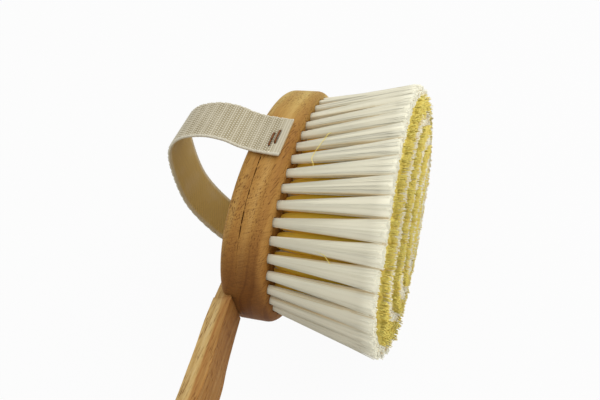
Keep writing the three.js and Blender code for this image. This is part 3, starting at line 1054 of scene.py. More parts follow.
@dataclass
class TuftPlan:
    """Where all the tufts stand: four rings and a straight row in the middle."""

    EASED: ClassVar[Span] = (0.35, 1.0)
    FOOT_EASED: ClassVar[Span] = (0.3, 0.8)
    AT_END: ClassVar[Span] = (0.7, 1.0)

    oval: Oval
    base_half_length: float = 59.0
    base_half_width: float = 33.2
    flare_end: float = 7.8
    flare_side: float = 13.4
    trim_shift: float = -1.8
    front_level: float = 20.0
    rim_level: float = 69.5
    dome_rise: float = 5.8
    rings: int = 4
    outer_pitch: float = 9.2
    inner_pitch: float = 9.05
    outer_tip_radius: float = 4.9
    outer_tip_depth: float = 3.6
    inner_tip_depth: float = 5.6
    tip_overlap: float = 1.0
    trim: float = 0.45
    side_trim: float = 1.3
    middle_end_gap: float = 18.0
    heel_trim: float = 0.012
    toe_ease: float = 5.4
    heel_ease: float = 0.3
    heel_drop: float = 2.6
    toe_lift: float = 1.8
    toe_foot: float = 1.5
    sway: float = 0.7
    seed: int = 5
    rows: list[TuftRow] = field(default_factory=list)

    def __post_init__(self) -> None:
        """Lays the rows out."""
        self.rows = [self._ring(ring) for ring in range(self.rings)]
        self.rows.append(self._middle_row())

    def _ovals(self, ring: int) -> tuple[np.ndarray, np.ndarray, float]:
        """The half sizes of a ring at the plate and at its tips, and its share of the outer ring's size.

        Args:
            ring: Its number, 0 for the outer one.

        Returns:
            Both pairs of half sizes, and the share.
        """
        share = 1 - ring / self.rings
        base_length = self.base_half_length - ring * self.base_half_width / self.rings
        base = np.array([base_length, self.base_half_width * share])
        return base, base + np.array([self.flare_end, self.flare_side]) * share, share

    def _trimmed(self, along: float, across: float, level: float) -> float:
        """A tip's level, a little shorter towards the handle and at the sides as the real trim is."""
        side = across / (self.base_half_width + self.flare_side)
        return level + self.heel_trim * along - self.trim - self.side_trim * side ** 2

    def _ring(self, ring: int) -> TuftRow:
        """One ring of tufts.

        Args:
            ring: Its number, 0 for the outer one.

        Returns:
            The row.
        """
        base, tip, share = self._ovals(ring)
        level = self.rim_level + self.dome_rise * (1 - share ** 2)
        pitch = self.outer_pitch if ring == 0 else self.inner_pitch
        count = round(self.oval.length_of(*tip) / pitch)
        draw = np.random.default_rng(self.seed + ring)
        places = self.oval.spaced(*tip, count)
        tufts = []
        for (along, across), outward in zip(places, self.oval.outward(places, *tip)):
            to_toe = along / tip[0]
            foot = np.array([along * base[0] / tip[0], across * base[1] / tip[1], self.front_level])
            foot[:2] += outward * self.toe_foot * share * smooth_step(*self.FOOT_EASED, to_toe)
            end = along + self.trim_shift * share - self.toe_ease * share * smooth_step(*self.EASED, to_toe)
            end += self.heel_ease * share * smooth_step(*self.EASED, -to_toe)
            drop = self.heel_drop * smooth_step(*self.AT_END, -to_toe)
            drop -= self.toe_lift * smooth_step(*self.AT_END, to_toe)
            lean = draw.uniform(-self.sway, self.sway, 2) * (abs(along) < 0.9 * tip[0])
            trimmed = self._trimmed(end, across, level) - drop * share ** 2
            top = np.array([end + lean[0], across + 0.3 * lean[1], trimmed])
            tufts.append(Tuft(foot, top, outward, share))
        if ring == 0:
            return TuftRow(tufts, self.outer_tip_radius, self.outer_tip_depth)
        radius = self.oval.length_of(*tip) / count / 2 + self.tip_overlap
        return TuftRow(tufts, radius, self.inner_tip_depth)

    def _middle_row(self) -> TuftRow:
        """The straight row in the middle.

        Returns:
            The row.
        """
        base, tip, _ = self._ovals(self.rings - 1)
        half_tip = tip[0] - self.middle_end_gap
        steps = 2 * math.ceil(half_tip / self.inner_pitch)
        level = self.rim_level + self.dome_rise
        tufts = []
        for share in np.linspace(-1, 1, steps + 1):
            end = share * half_tip
            foot = np.array([end * base[0] / tip[0], 0, self.front_level])
            top = np.array([end, 0, self._trimmed(end, 0, level)])
            tufts.append(Tuft(foot, top, np.array([0.0, 1.0]), 0.0))
        return TuftRow(tufts, half_tip / steps + self.tip_overlap, self.inner_tip_depth)

    def bores(self, radius: float = 2.35, depth: float = 14.0, clear: float = 3.0, sides: int = 18) -> Skin:
        """The drilled holes as one set of rods.

        Args:
            radius: A hole's radius.
            depth: How deep a rod goes into the plate.
            clear: How far it stands out of it.
            sides: How many sides a rod has.

        Returns:
            The rods' points in brush millimetres, and their faces.
        """
        turn = 2 * math.pi * np.arange(sides) / sides
        rods = []
        for row in self.rows:
            for tuft in row.tufts:
                axis = (tuft.tip - tuft.foot) / np.linalg.norm(tuft.tip - tuft.foot)
                side = np.cross(axis, [1.0, 0.0, 0.0])
                side /= np.linalg.norm(side)
                other = np.cross(axis, side)
                ring = radius * (np.cos(turn)[:, None] * side + np.sin(turn)[:, None] * other)
                rods.append(loft([tuft.foot + ring + axis * (end / axis[2]) for end in (-depth, clear)]))
        return joined_skins(rods)


@dataclass(frozen=True)
class Dovetail:
    """The section that the handle's tongue and the head's slot share."""

    half_width: float = 7.3
    front: float = 5.6
    back: float = -2.2
    degrees: float = 15.0

    def bar(self, low: float, high: float, back: float, allowance: float = 0.0) -> Skin:
        """A bar of this section along the head.

        Args:
            low: Where it starts along the head.
            high: Where it ends.
            back: The level of its narrow back face.
            allowance: How far its faces stand off the tongue's.

        Returns:
            Points in brush millimetres, and faces.
        """
        angle = math.radians(self.degrees)
        lean = math.tan(angle)
        front = self.front + allowance
        half_front = self.half_width + allowance / math.cos(angle) + allowance * lean
        half_back = half_front - (front - back) * lean
        section = [(-half_front, front), (-half_back, back), (half_back, back), (half_front, front)]
        return loft([np.array([(at, across, level) for across, level in section]) for at in (low, high)])


@dataclass
class WoodenHead:
    """The head: the drilled bristle plate and the back cover with its dovetail slot."""

    OPEN_FROM: ClassVar[Span] = (-52.0, -47.0)
    OPEN_TO: ClassVar[Span] = (-3.0, 3.0)
    FAINT_UNDER: ClassVar[float] = -45.0

    oval: Oval
    plan: TuftPlan
    dovetail: Dovetail = Dovetail()
    half_length: float = 65.0
    half_width: float = 40.0
    thickness: float = 20.0
    edge_round: float = 4.5
    seam_level: float = 8.5
    closed_gap: float = 0.05
    open_gap: float = 0.56
    faint_share: float = 0.16
    edge_wear: float = 0.1
    least_wear: float = 0.03
    wire_room_levels: Span = (7.25, 12.0)
    wire_room_points: int = 96
    glue_rim: float = 5.0
    slide_clearance: float = 0.3
    slot_end: float = -5.3
    slot_back: float = -7.2
    slot_beyond: float = 10.0
    points_round: int = 384
    wall_steps: int = 5
    edge_steps: int = 9
    seed: int = 11

    def _seam_gap(self, outline: np.ndarray) -> np.ndarray:
        """How far the glue joint has opened at each point round the head.

        Args:
            outline: Points round the head.

        Returns:
            The gaps in millimetres.
        """
        draw = np.random.default_rng(self.seed)
        count = len(outline)
        ragged = draw.uniform(0, 1, count)
        ragged = (ragged + np.roll(ragged, 1)) / 2
        ragged = 0.2 + 0.8 * smooth_step(0.3, 0.55, ragged)
        along, across = outline[:, 0], outline[:, 1]
        near = across > 0
        opened = near * smooth_step(*self.OPEN_FROM, along) * (1 - smooth_step(*self.OPEN_TO, along))
        faint = self.faint_share * smooth_step(0.5, 1.0, ragged) * near * (along < self.FAINT_UNDER)
        return self.closed_gap + (self.open_gap - self.closed_gap) * np.maximum(opened * ragged, faint)

    def _skin(self, front: bool) -> Skin:
        """The plate's or the cover's skin, from the seam to its rounded edge and flat face.

        Args:
            front: True for the plate, False for the cover.

        Returns:
            Points in brush millimetres, and faces.
        """
        outline = self.oval.spaced(self.half_length, self.half_width, self.points_round)
        outward = self.oval.outward(outline, self.half_length, self.half_width)

        def ring(inset: Amount, level: Amount) -> np.ndarray:
            """One ring round the head, set in from its outline at a level."""
            flat = outline - outward * np.broadcast_to(inset, len(outline))[:, None]
            return np.column_stack([flat, np.broadcast_to(level, len(outline))])

        gap = self._seam_gap(outline) / 2
        sign = 1 if front else -1
        wear = self.edge_wear * smooth_step(0.05, 0.2, gap) + self.least_wear
        wall_end = (self.thickness if front else 0.0) - sign * self.edge_round
        start = self.seam_level + sign * gap
        wall_start = start + sign * wear
        rings = [ring(wear, start), ring(0.0, wall_start)]
        for share in np.linspace(1 / self.wall_steps, 1, self.wall_steps):
            rings.append(ring(0.0, wall_start * (1 - share) + wall_end * share))
        for step in range(1, self.edge_steps + 1):
            turn = step / self.edge_steps * math.pi / 2
            inset = self.edge_round * (1 - math.cos(turn))
            rings.append(ring(inset, wall_end + sign * self.edge_round * math.sin(turn)))
        return loft(rings if front else rings[::-1])

    def _wire_room(self) -> Skin:
        """The shallow room for the draw wire, under the cover's glued face.

        Returns:
            Points in brush millimetres, and faces.
        """
        half_length, half_width = self.half_length - self.glue_rim, self.half_width - self.glue_rim
        outline = self.oval.spaced(half_length, half_width, self.wire_room_points)
        return loft([np.column_stack([outline, np.full(len(outline), at)]) for at in self.wire_room_levels])

    def build(self) -> list[bpy.types.Object]:
        """Makes the plate and the cover.

        Returns:
            The two pieces.
        """
        plate = skin_piece("bristle_plate_beech", self._skin(True))
        carve(plate, skin_piece("bores", self.plan.bores()), "DIFFERENCE")
        cover = skin_piece("back_cover_beech", self._skin(False))
        carve(cover, skin_piece("wire_room", self._wire_room()), "DIFFERENCE")
        slot_start = -self.half_length - self.slot_beyond
        slot = self.dovetail.bar(slot_start, self.slot_end, self.slot_back, self.slide_clearance)
        carve(cover, skin_piece("slot", slot), "DIFFERENCE")
        for piece, node in ((plate, "bristle_plate"), (cover, "back_cover")):
            mark_grain(piece.data)
            hand_over(piece, HEAD_BEECH, Body.HEAD, [node])
        return [plate, cover]


@dataclass
class Handle:
    """The handle: a dovetail tongue, a neck of about the same section and a wider rounded grip."""

    dovetail: Dovetail = Dovetail()
    neck_start: float = -65.6
    reach: float = 270.0
    tongue_length: float = 60.0
    tongue_overlap: float = 0.3
    end_round: float = 13.0
    end_steps: int = 16
    hole_inset: float = 17.0
    hole_radius: float = 4.0
    hole_flare: float = 0.9
    hole_sides: int = 40
    hole_profile: tuple[Span, ...] = (
        (-4.0, 5.2), (0.35, 0.9), (0.8, 0.35), (1.6, 0.0),
        (9.3, 0.0), (10.1, 0.35), (10.55, 0.9), (15.0, 5.2),
    )
    side_points: int = 14
    steps: int = 150

    def _sections(self) -> tuple[np.ndarray, np.ndarray]:
        """Distances from the neck's start, and there the front and back half widths, levels and roundness.

        Returns:
            The distances, and a row of values for each.
        """
        table = np.array([
            [0, 8.3, 5.5, 6.4, -2.45, 0.0],
            [12, 8.6, 6.5, 7.5, -1.6, 0.02],
            [23, 8.85, 7.5, 8.8, -0.2, 0.06],
            [32, 9.85, 8.6, 10.05, 0.75, 0.12],
            [46, 11.2, 10.3, 10.5, 1.7, 0.35],
            [80, 13.2, 12.8, 10.9, 0.6, 0.5],
            [150, 14.0, 14.0, 11.2, -0.3, 0.5],
            [self.reach, 13.0, 13.0, 10.7, 0.2, 0.5],
        ])
        return table[:, 0], table[:, 1:]

    def _section_at(self, distance: float) -> np.ndarray:
        """The section's values between the table's rows, on a smooth curve.

        Args:
            distance: The distance from the neck's start.

        Returns:
            Front and back half widths, front and back levels, and roundness.
        """
        at, values = self._sections()
        i = int(np.clip(np.searchsorted(at, distance, side="right"), 1, len(at) - 1))
        t0, t1 = at[i - 1], at[i]
        half = (t1 - t0) / 2
        before, w_before = values[i], -0.5
        if i > 1:
            before, w_before = values[i - 2], half / (t0 - at[i - 2])
        after, w_after = values[i - 1], -0.5
        if i + 1 < len(at):
            after, w_after = values[i + 1], half / (at[i + 1] - t1)
        p = (distance - t0) / (t1 - t0)
        s_before = -w_before * p ** 3 + 2 * w_before * p ** 2 - w_before * p
        s_start = (1 + w_before) * p ** 3 + (-1.5 - 2 * w_before) * p ** 2 + (-0.5 + w_before) * p + 1
        s_end = (-1 - w_after) * p ** 3 + (1.5 + w_after) * p ** 2 + 0.5 * p
        s_after = w_after * p ** 3 - w_after * p ** 2
        return s_before * before + s_start * values[i - 1] + s_end * values[i] + s_after * after

    def _square(self) -> np.ndarray:
        """Points round a square from -1 to 1, counter-clockwise seen from the head.

        Returns:
            The points, (across, level).
        """
        line = np.linspace(-1, 1, self.side_points + 1)[:-1]
        one = np.ones_like(line)
        return np.concatenate([
            np.column_stack([line, -one]), np.column_stack([one, line]),
            np.column_stack([-line, one]), np.column_stack([-one, -line]),
        ])

    def _shaft_ring(self, distance: float) -> np.ndarray:
        """The shaft's outline at a distance from the neck's start.

        Args:
            distance: The distance.

        Returns:
            The ring's points in brush millimetres.
        """
        u, v = self._square().T
        front_half, back_half, front, back, roundness = self._section_at(distance)
        into_end = max(0.0, (distance - self.reach + self.end_round) / self.end_round)
        half = (back_half + (front_half - back_half) * (v + 1) / 2) * math.sqrt(1 - 0.9 * into_end ** 2)
        across = u * np.sqrt(1 - roundness * v * v / 2) * half
        up = v * np.sqrt(1 - roundness * u * u / 2) * math.sqrt(1 - 0.55 * into_end ** 2)
        level = back + (front - back) * (up + 1) / 2
        return np.column_stack([np.full_like(u, self.neck_start - distance), across, level])

    def _hole(self) -> Skin:
        """The hanging hole's tool: a rod that flares where it meets both faces.

        Returns:
            Points in brush millimetres, and faces.
        """
        middle = self.neck_start - self.reach + self.hole_inset
        turn = 2 * math.pi * np.arange(self.hole_sides) / self.hole_sides
        rings = []
        for level, grow in self.hole_profile:
            radius = self.hole_radius + grow * self.hole_flare
            rings.append(np.column_stack([
                middle + radius * np.cos(turn), radius * np.sin(turn), np.full_like(turn, level),
            ]))
        return loft(rings)

    def build(self) -> bpy.types.Object:
        """Makes the handle.

        Returns:
            The piece.
        """
        even = np.linspace(0, self.reach - self.end_round, self.steps)
        turn = np.linspace(0, math.pi / 2, self.end_steps)[1:]
        rounding = self.reach - self.end_round * (1 - np.sin(turn))
        distances = np.concatenate([even, rounding])
        piece = skin_piece("handle_beech", loft([self._shaft_ring(d) for d in distances[::-1]]))
        low, high = self.neck_start - self.tongue_overlap, self.neck_start + self.tongue_length
        tongue = self.dovetail.bar(low, high, self.dovetail.back)
        carve(piece, skin_piece("tongue", tongue), "UNION")
        carve(piece, skin_piece("hanging_hole", self._hole()), "DIFFERENCE")
        mark_grain(piece.data)
        return hand_over(piece, HANDLE_BEECH, Body.HANDLE, ["handle"])


class FibreTree:
    """The Geometry Nodes tree that grows fibres from a row's tuft points."""

    SIZES: ClassVar[dict[str, tuple[str, Optional[float]]]] = {
        "Fibres": ("NodeSocketInt", None),
        "Foot radius": ("NodeSocketFloat", None),
        "Tip radius": ("NodeSocketFloat", None),
        "Tip depth": ("NodeSocketFloat", None),
        "Fibre radius": ("NodeSocketFloat", None),
        "Ragged": ("NodeSocketFloat", None),
        "Clump": ("NodeSocketFloat", 0.0003),
        "Sunk": ("NodeSocketFloat", 0.12),
        "Flare power": ("NodeSocketFloat", None),
        "Seed": ("NodeSocketInt", None),
        "Parting": ("NodeSocketFloat", -9.0),
        "Turned": ("NodeSocketFloat", 1.0),
        "Core end": ("NodeSocketFloat", None),
        "Outer reach": ("NodeSocketFloat", None),
        "Fibre": ("NodeSocketMaterial", None),
    }
    GOLDEN_TURN: ClassVar[float] = 2.39996
    FIBRE_ROD: ClassVar[dict[str, int]] = {"Vertices": 3, "Side Segments": 3}
    CORE_ROD: ClassVar[dict[str, int]] = {"Vertices": 30, "Side Segments": 14, "Fill Segments": 3}
    FIBRE_BUNCHING: ClassVar[float] = 3.6
    CORE_BUNCHING: ClassVar[float] = 1.0
    FIBRE_FIRM: ClassVar[float] = 0.15
    CORE_SUNK: ClassVar[float] = 0.03
    SHADED_SIDE: ClassVar[Span] = (0.72, 1.04)
    TIP_TURN: ClassVar[Span] = (0.982, 0.999)

    def __init__(self) -> None:
        """Builds the tree."""
        self.tree = bpy.data.node_groups.new("tuft_fibres", "GeometryNodeTree")
        self.inputs: dict[str, str] = {}
        face = self.tree.interface
        face.new_socket("Geometry", in_out="INPUT", socket_type="NodeSocketGeometry")
        for name, (kind, default) in self.SIZES.items():
            socket = face.new_socket(name, in_out="INPUT", socket_type=kind)
            if default is not None:
                socket.default_value = default
            self.inputs[name] = socket.identifier
        face.new_socket("Geometry", in_out="OUTPUT", socket_type="NodeSocketGeometry")
        self.sheet = NodeSheet(self.tree)
        self._write()

    def _kept(self, geometry: Signal, name: str, kind: str, value: Signal, domain: str = "POINT") -> Signal:
        """Stores a named value on geometry.

        Args:
            geometry: The geometry.
            name: The value's name.
            kind: Its data type.
            value: The value.
            domain: Where it is kept.

        Returns:
            The geometry with the value.
        """
        return self.sheet.signal(
            "GeometryNodeStoreNamedAttribute", 0, {"data_type": kind, "domain": domain},
            {"Geometry": geometry, "Name": name, "Value": value},
        )

    def _named(self, name: str, kind: str) -> Signal:
        """A named value of the geometry."""
        settings, vector = {"data_type": kind}, kind == "FLOAT_VECTOR"
        return self.sheet.signal("GeometryNodeInputNamedAttribute", 0, settings, {"Name": name}, vector)

    def _chance(self, low: float, high: float, seed: Signal, shift: int) -> Signal:
        """A random value for each fibre.

        Args:
            low: Its lowest value.
            high: Its highest value.
            seed: The tree's seed.
            shift: What this draw adds to the seed.

        Returns:
            The value.
        """
        order = self.sheet.signal("GeometryNodeInputIndex")
        feeds = {2: low, 3: high, 7: order, 8: seed + shift}
        return self.sheet.signal("FunctionNodeRandomValue", 1, {"data_type": "FLOAT"}, feeds)

    def _write(self) -> None:
        """Writes the tree: the fibres and the core of each tuft, with their material."""
        sheet = self.sheet
        entry = sheet.add("NodeGroupInput")
        size = {name: Signal(sheet, entry.outputs[name]) for name in self.SIZES}
        tufts = Signal(sheet, entry.outputs["Geometry"])
        joined = sheet.add("GeometryNodeJoinGeometry")
        for part in (self._fibres(size, tufts), self._core(size, tufts)):
            sheet.tree.links.new(part.socket, joined.inputs[0])
        grown = Signal(sheet, joined.outputs[0])
        corner = sheet.joined(self._named("tone", "FLOAT") * 0.98 + 0.01, self._named("run", "FLOAT"))
        grown = self._kept(grown, BAKE_MAP, "FLOAT2", corner, "CORNER")
        grown = sheet.signal("GeometryNodeSetShadeSmooth", 0, feeds={"Geometry": grown})
        feeds = {"Geometry": grown, "Material": size["Fibre"]}
        sheet.add("NodeGroupOutput", feeds={0: sheet.signal("GeometryNodeSetMaterial", 0, feeds=feeds)})

    def _rods(self, points: Signal, fill: str, shape: Mapping[str, int], bunching: float) -> Signal:
        """A rod at each point, which keeps the run from its foot to its tip and the place in its section.

        Args:
            points: The points.
            fill: How the rod's ends are filled.
            shape: How finely the rod is made.
            bunching: How closely its rings crowd at its tip, from 1 for even ones.

        Returns:
            The rods' geometry.
        """
        sheet = self.sheet
        feeds = {**shape, "Radius": 1.0, "Depth": 1.0}
        rod = sheet.signal("GeometryNodeMeshCylinder", 0, {"fill_type": fill}, feeds)
        rod_x, rod_y, rod_up = sheet.signal("GeometryNodeInputPosition", vector=True).parts()
        rod = self._kept(rod, "run", "FLOAT", 1 - (0.5 - rod_up) ** bunching)
        rod = self._kept(rod, "section", "FLOAT_VECTOR", sheet.joined(rod_x, rod_y))
        rods = sheet.signal("GeometryNodeInstanceOnPoints", 0, feeds={"Points": points, "Instance": rod})
        return sheet.signal("GeometryNodeRealizeInstances", 0, feeds={0: rods})

    def _fibres(self, size: Mapping[str, Signal], tufts: Signal) -> Signal:
        """The fibres, spread over each tuft's section and bent from foot to tip.

        Args:
            size: The tree's inputs.
            tufts: The tuft points.

        Returns:
            The fibres' geometry.
        """
        fibres = self._rods(self._spread(size, tufts), "NGON", self.FIBRE_ROD, self.FIBRE_BUNCHING)
        fibres = self._kept(fibres, "lean", "FLOAT_VECTOR", self._leaning())
        fibres = self._kept(fibres, "firm", "FLOAT", self.FIBRE_FIRM)
        feeds = {"Geometry": fibres, "Position": self._bent(size)}
        return self.sheet.signal("GeometryNodeSetPosition", 0, feeds=feeds)

    def _spread(self, size: Mapping[str, Signal], tufts: Signal) -> Signal:
        """A point for each fibre, with its place in its tuft's section and what is its own.

        Args:
            size: The tree's inputs.
            tufts: The tuft points.

        Returns:
            The fibre points.
        """
        sheet, seed = self.sheet, size["Seed"]
        feeds = {"Geometry": tufts, "Amount": size["Fibres"]}
        spread = sheet.add("GeometryNodeDuplicateElements", {"domain": "POINT"}, feeds)
        order = Signal(sheet, spread.outputs["Duplicate Index"])
        turn = self._named("turn", "FLOAT")
        radius = ((order + self._chance(0.1, 0.9, seed, 1)) / size["Fibres"]) ** 0.5
        angle = order * self.GOLDEN_TURN + turn + self._chance(-0.35, 0.35, seed, 2)
        out_share, round_share = radius * angle.function("COSINE"), radius * angle.function("SINE")
        parting = self._parting(size)
        past = (out_share + self._chance(-0.1, 0.1, seed, 6) - parting) * size["Turned"]
        other_colour = sheet.signal(
            "FunctionNodeCompare", 0, {"data_type": "FLOAT", "operation": "LESS_THAN"}, {0: past, 1: 0.0},
        )
        # A random tone for each fibre, with painted shade at the tuft's sides where it touches the next.
        tone = self._lit(round_share) * self._chance(0.35, 1.0, seed, 3) * self._lightness(size)
        points = Signal(sheet, spread.outputs["Geometry"])
        points = self._kept(points, "disc", "FLOAT_VECTOR", sheet.joined(out_share, round_share, turn))
        points = self._kept(points, "tone", "FLOAT", tone)
        points = self._kept(points, "short", "FLOAT", self._chance(0.0, 1.0, seed, 4) ** 2.2)
        points = self._kept(points, "stray", "FLOAT", self._chance(-1.0, 1.0, seed, 5) ** 3)
        feeds = {"Geometry": points, "Selection": other_colour}
        return sheet.signal("GeometryNodeDeleteGeometry", 0, {"domain": "POINT"}, feeds)

    def _parting(self, size: Mapping[str, Signal]) -> Signal:
        """Where a two-tone tuft's colours part, or its inner edge in a tuft of one colour."""
        parting = size["Parting"] + (self._named("turn", "FLOAT") * 3.0).function("SINE") * 0.25
        return parting.larger(-1.0)

    def _lit(self, round_share: Signal) -> Signal:
        """How clear of the painted gold shade between two tufts a place in a tuft's section is."""
        return 1 - round_share.function("ABSOLUTE").rise(*self.SHADED_SIDE) * 0.85

    @staticmethod
    def _lightness(size: Mapping[str, Signal]) -> Signal:
        """How light a colour is kept: half for ivory beside straw, and 1 for straw or for ivory alone."""
        return size["Turned"] * 0.25 + 0.75

    def _leaning(self) -> Signal:
        """The way that a fibre's surface is turned, so that its tuft is shaded as one soft form.

        Returns:
            The direction.
        """
        _, _, axis, outward, round_way = self._axes()
        out_share, round_share, _ = self._named("disc", "FLOAT_VECTOR").parts()
        run = self._named("run", "FLOAT")
        on_side = (outward * out_share + round_way * round_share) * (0.8 - run * 0.65)
        on_side = on_side + outward * (run * 0.35 + 0.35)
        rim = self._named("rim", "FLOAT")
        on_tip = axis * 0.5 + self.sheet.joined(0.0, 0.0, rim * 0.36) + outward * (rim * 0.12)
        at_tip = run.rise(*self.TIP_TURN)
        return on_side * (1 - at_tip) + on_tip * at_tip

    def _axes(self) -> tuple[Signal, Signal, Signal, Signal, Signal]:
        """A tuft's foot and tip, the direction along it, and its directions out of the brush and round it.

        Returns:
            The five vectors, in that order.
        """
        foot, tip = self._named("foot", "FLOAT_VECTOR"), self._named("tip", "FLOAT_VECTOR")
        axis = (tip - foot).unit()
        round_way = axis.cross(self._named("outward", "FLOAT_VECTOR")).unit()
        return foot, tip, axis, round_way.cross(axis), round_way

    @staticmethod
    def _flare(size: Mapping[str, Signal], above: Signal) -> tuple[Signal, Signal]:
        """A tuft's half sizes, out of the brush and round it, at a share of its height.

        Args:
            size: The tree's inputs.
            above: The share of its height.

        Returns:
            The two half sizes.
        """
        power, foot = size["Flare power"], size["Foot radius"]
        deep = foot + (size["Tip depth"] - foot) * above ** (power * 0.84)
        return deep, foot + (size["Tip radius"] - foot) * above ** power

    @staticmethod
    def _out(size: Mapping[str, Signal], out_share: Signal, deep: Signal, above: Signal) -> Signal:
        """How far out of its tuft's middle a place in the section is, with the reach that the tip adds."""
        return out_share * deep + out_share.larger(0.0) * above * size["Outer reach"]

    def _core(self, size: Mapping[str, Signal], tufts: Signal) -> Signal:
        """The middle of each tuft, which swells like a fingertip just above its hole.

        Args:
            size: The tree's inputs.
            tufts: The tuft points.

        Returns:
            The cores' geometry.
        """
        sheet = self.sheet
        core = self._rods(tufts, "TRIANGLE_FAN", self.CORE_ROD, self.CORE_BUNCHING)
        foot, tip, axis, outward, round_way = self._axes()
        section = self._named("section", "FLOAT_VECTOR")
        strand = sheet.noise(section * 4.5 + sheet.joined(0.0, 0.0, self._named("turn", "FLOAT") * 7.0), 1.0)
        share = self._named("run", "FLOAT") ** 2.3 * (strand * 0.06 + size["Core end"]) - self.CORE_SUNK
        above = share.larger(0.0)
        deep, wide = self._flare(size, above)
        fill = (1.05 - above * 0.05) * share.rise(-0.035, 0.04) ** 0.5 * (strand * 0.08 + 0.96)
        fill = fill * (1 - above.rise(0.9, 1.0) * 0.06)
        out_share, round_share, _ = section.parts()
        parting, turned = self._parting(size), size["Turned"]
        out_share = (turned + parting + out_share * (1 - turned * parting)) * 0.5
        out = self._out(size, out_share, deep, above) * fill
        offset = outward * out + round_way * (round_share * wide * fill)
        place = foot + (tip - foot) * share + offset - self._levelled(axis, offset) * above
        # The core's tone, with painted shade at its sides where it touches the next tuft.
        tone = self._lit(round_share) * (strand * 0.5 + 0.4) * self._lightness(size)
        core = self._kept(core, "tone", "FLOAT", tone)
        core = self._kept(core, "lean", "FLOAT_VECTOR", outward * (above * 0.4 + 0.3))
        core = self._kept(core, "firm", "FLOAT", 0.8 - above * 0.5)
        core = sheet.signal("GeometryNodeSetPosition", 0, feeds={"Geometry": core, "Position": place})
        return self._kept(core, "run", "FLOAT", above)

    def _bent(self, size: Mapping[str, Signal]) -> Signal:
        """Where each point of each fibre goes.

        Args:
            size: The tree's inputs.

        Returns:
            The position.
        """
        sheet = self.sheet
        foot, tip, axis, outward, round_way = self._axes()
        out_share, round_share, _ = self._named("disc", "FLOAT_VECTOR").parts()
        section_x, section_y, _ = self._named("section", "FLOAT_VECTOR").parts()
        run = self._named("run", "FLOAT")
        share = run * (size["Sunk"] + 1) - size["Sunk"]
        above = share.larger(0.0)
        deep, wide = self._flare(size, above)
        strand = sheet.signal(
            "ShaderNodeTexNoise", 1, {"noise_dimensions": "3D"},
            {"Vector": self._named("disc", "FLOAT_VECTOR") * 3.1, "Scale": 1.0, "Detail": 1.0}, True,
        )
        strand_out, strand_round, strand_up = ((strand - (0.5, 0.5, 0.5)) * 2.0).parts()
        clump, thick = size["Clump"] * above, size["Fibre radius"]
        stray = self._named("stray", "FLOAT") * clump * 1.6 * above
        out = self._out(size, out_share, deep, above) + strand_out * clump + section_x * thick + stray
        across = round_share * wide + strand_round * clump + section_y * thick + stray * out_share
        offset = outward * out + round_way * across
        ends = (strand_up + 0.1 - self._named("short", "FLOAT") * 1.6) * size["Ragged"]
        return foot + (tip - foot) * share + offset + (axis * ends - self._levelled(axis, offset)) * above

    @staticmethod
    def _levelled(axis: Signal, offset: Signal) -> Signal:
        """The step along a tuft that takes a point beside its middle line to the middle's level."""
        return axis * (offset.parts()[1] / axis.parts()[1])


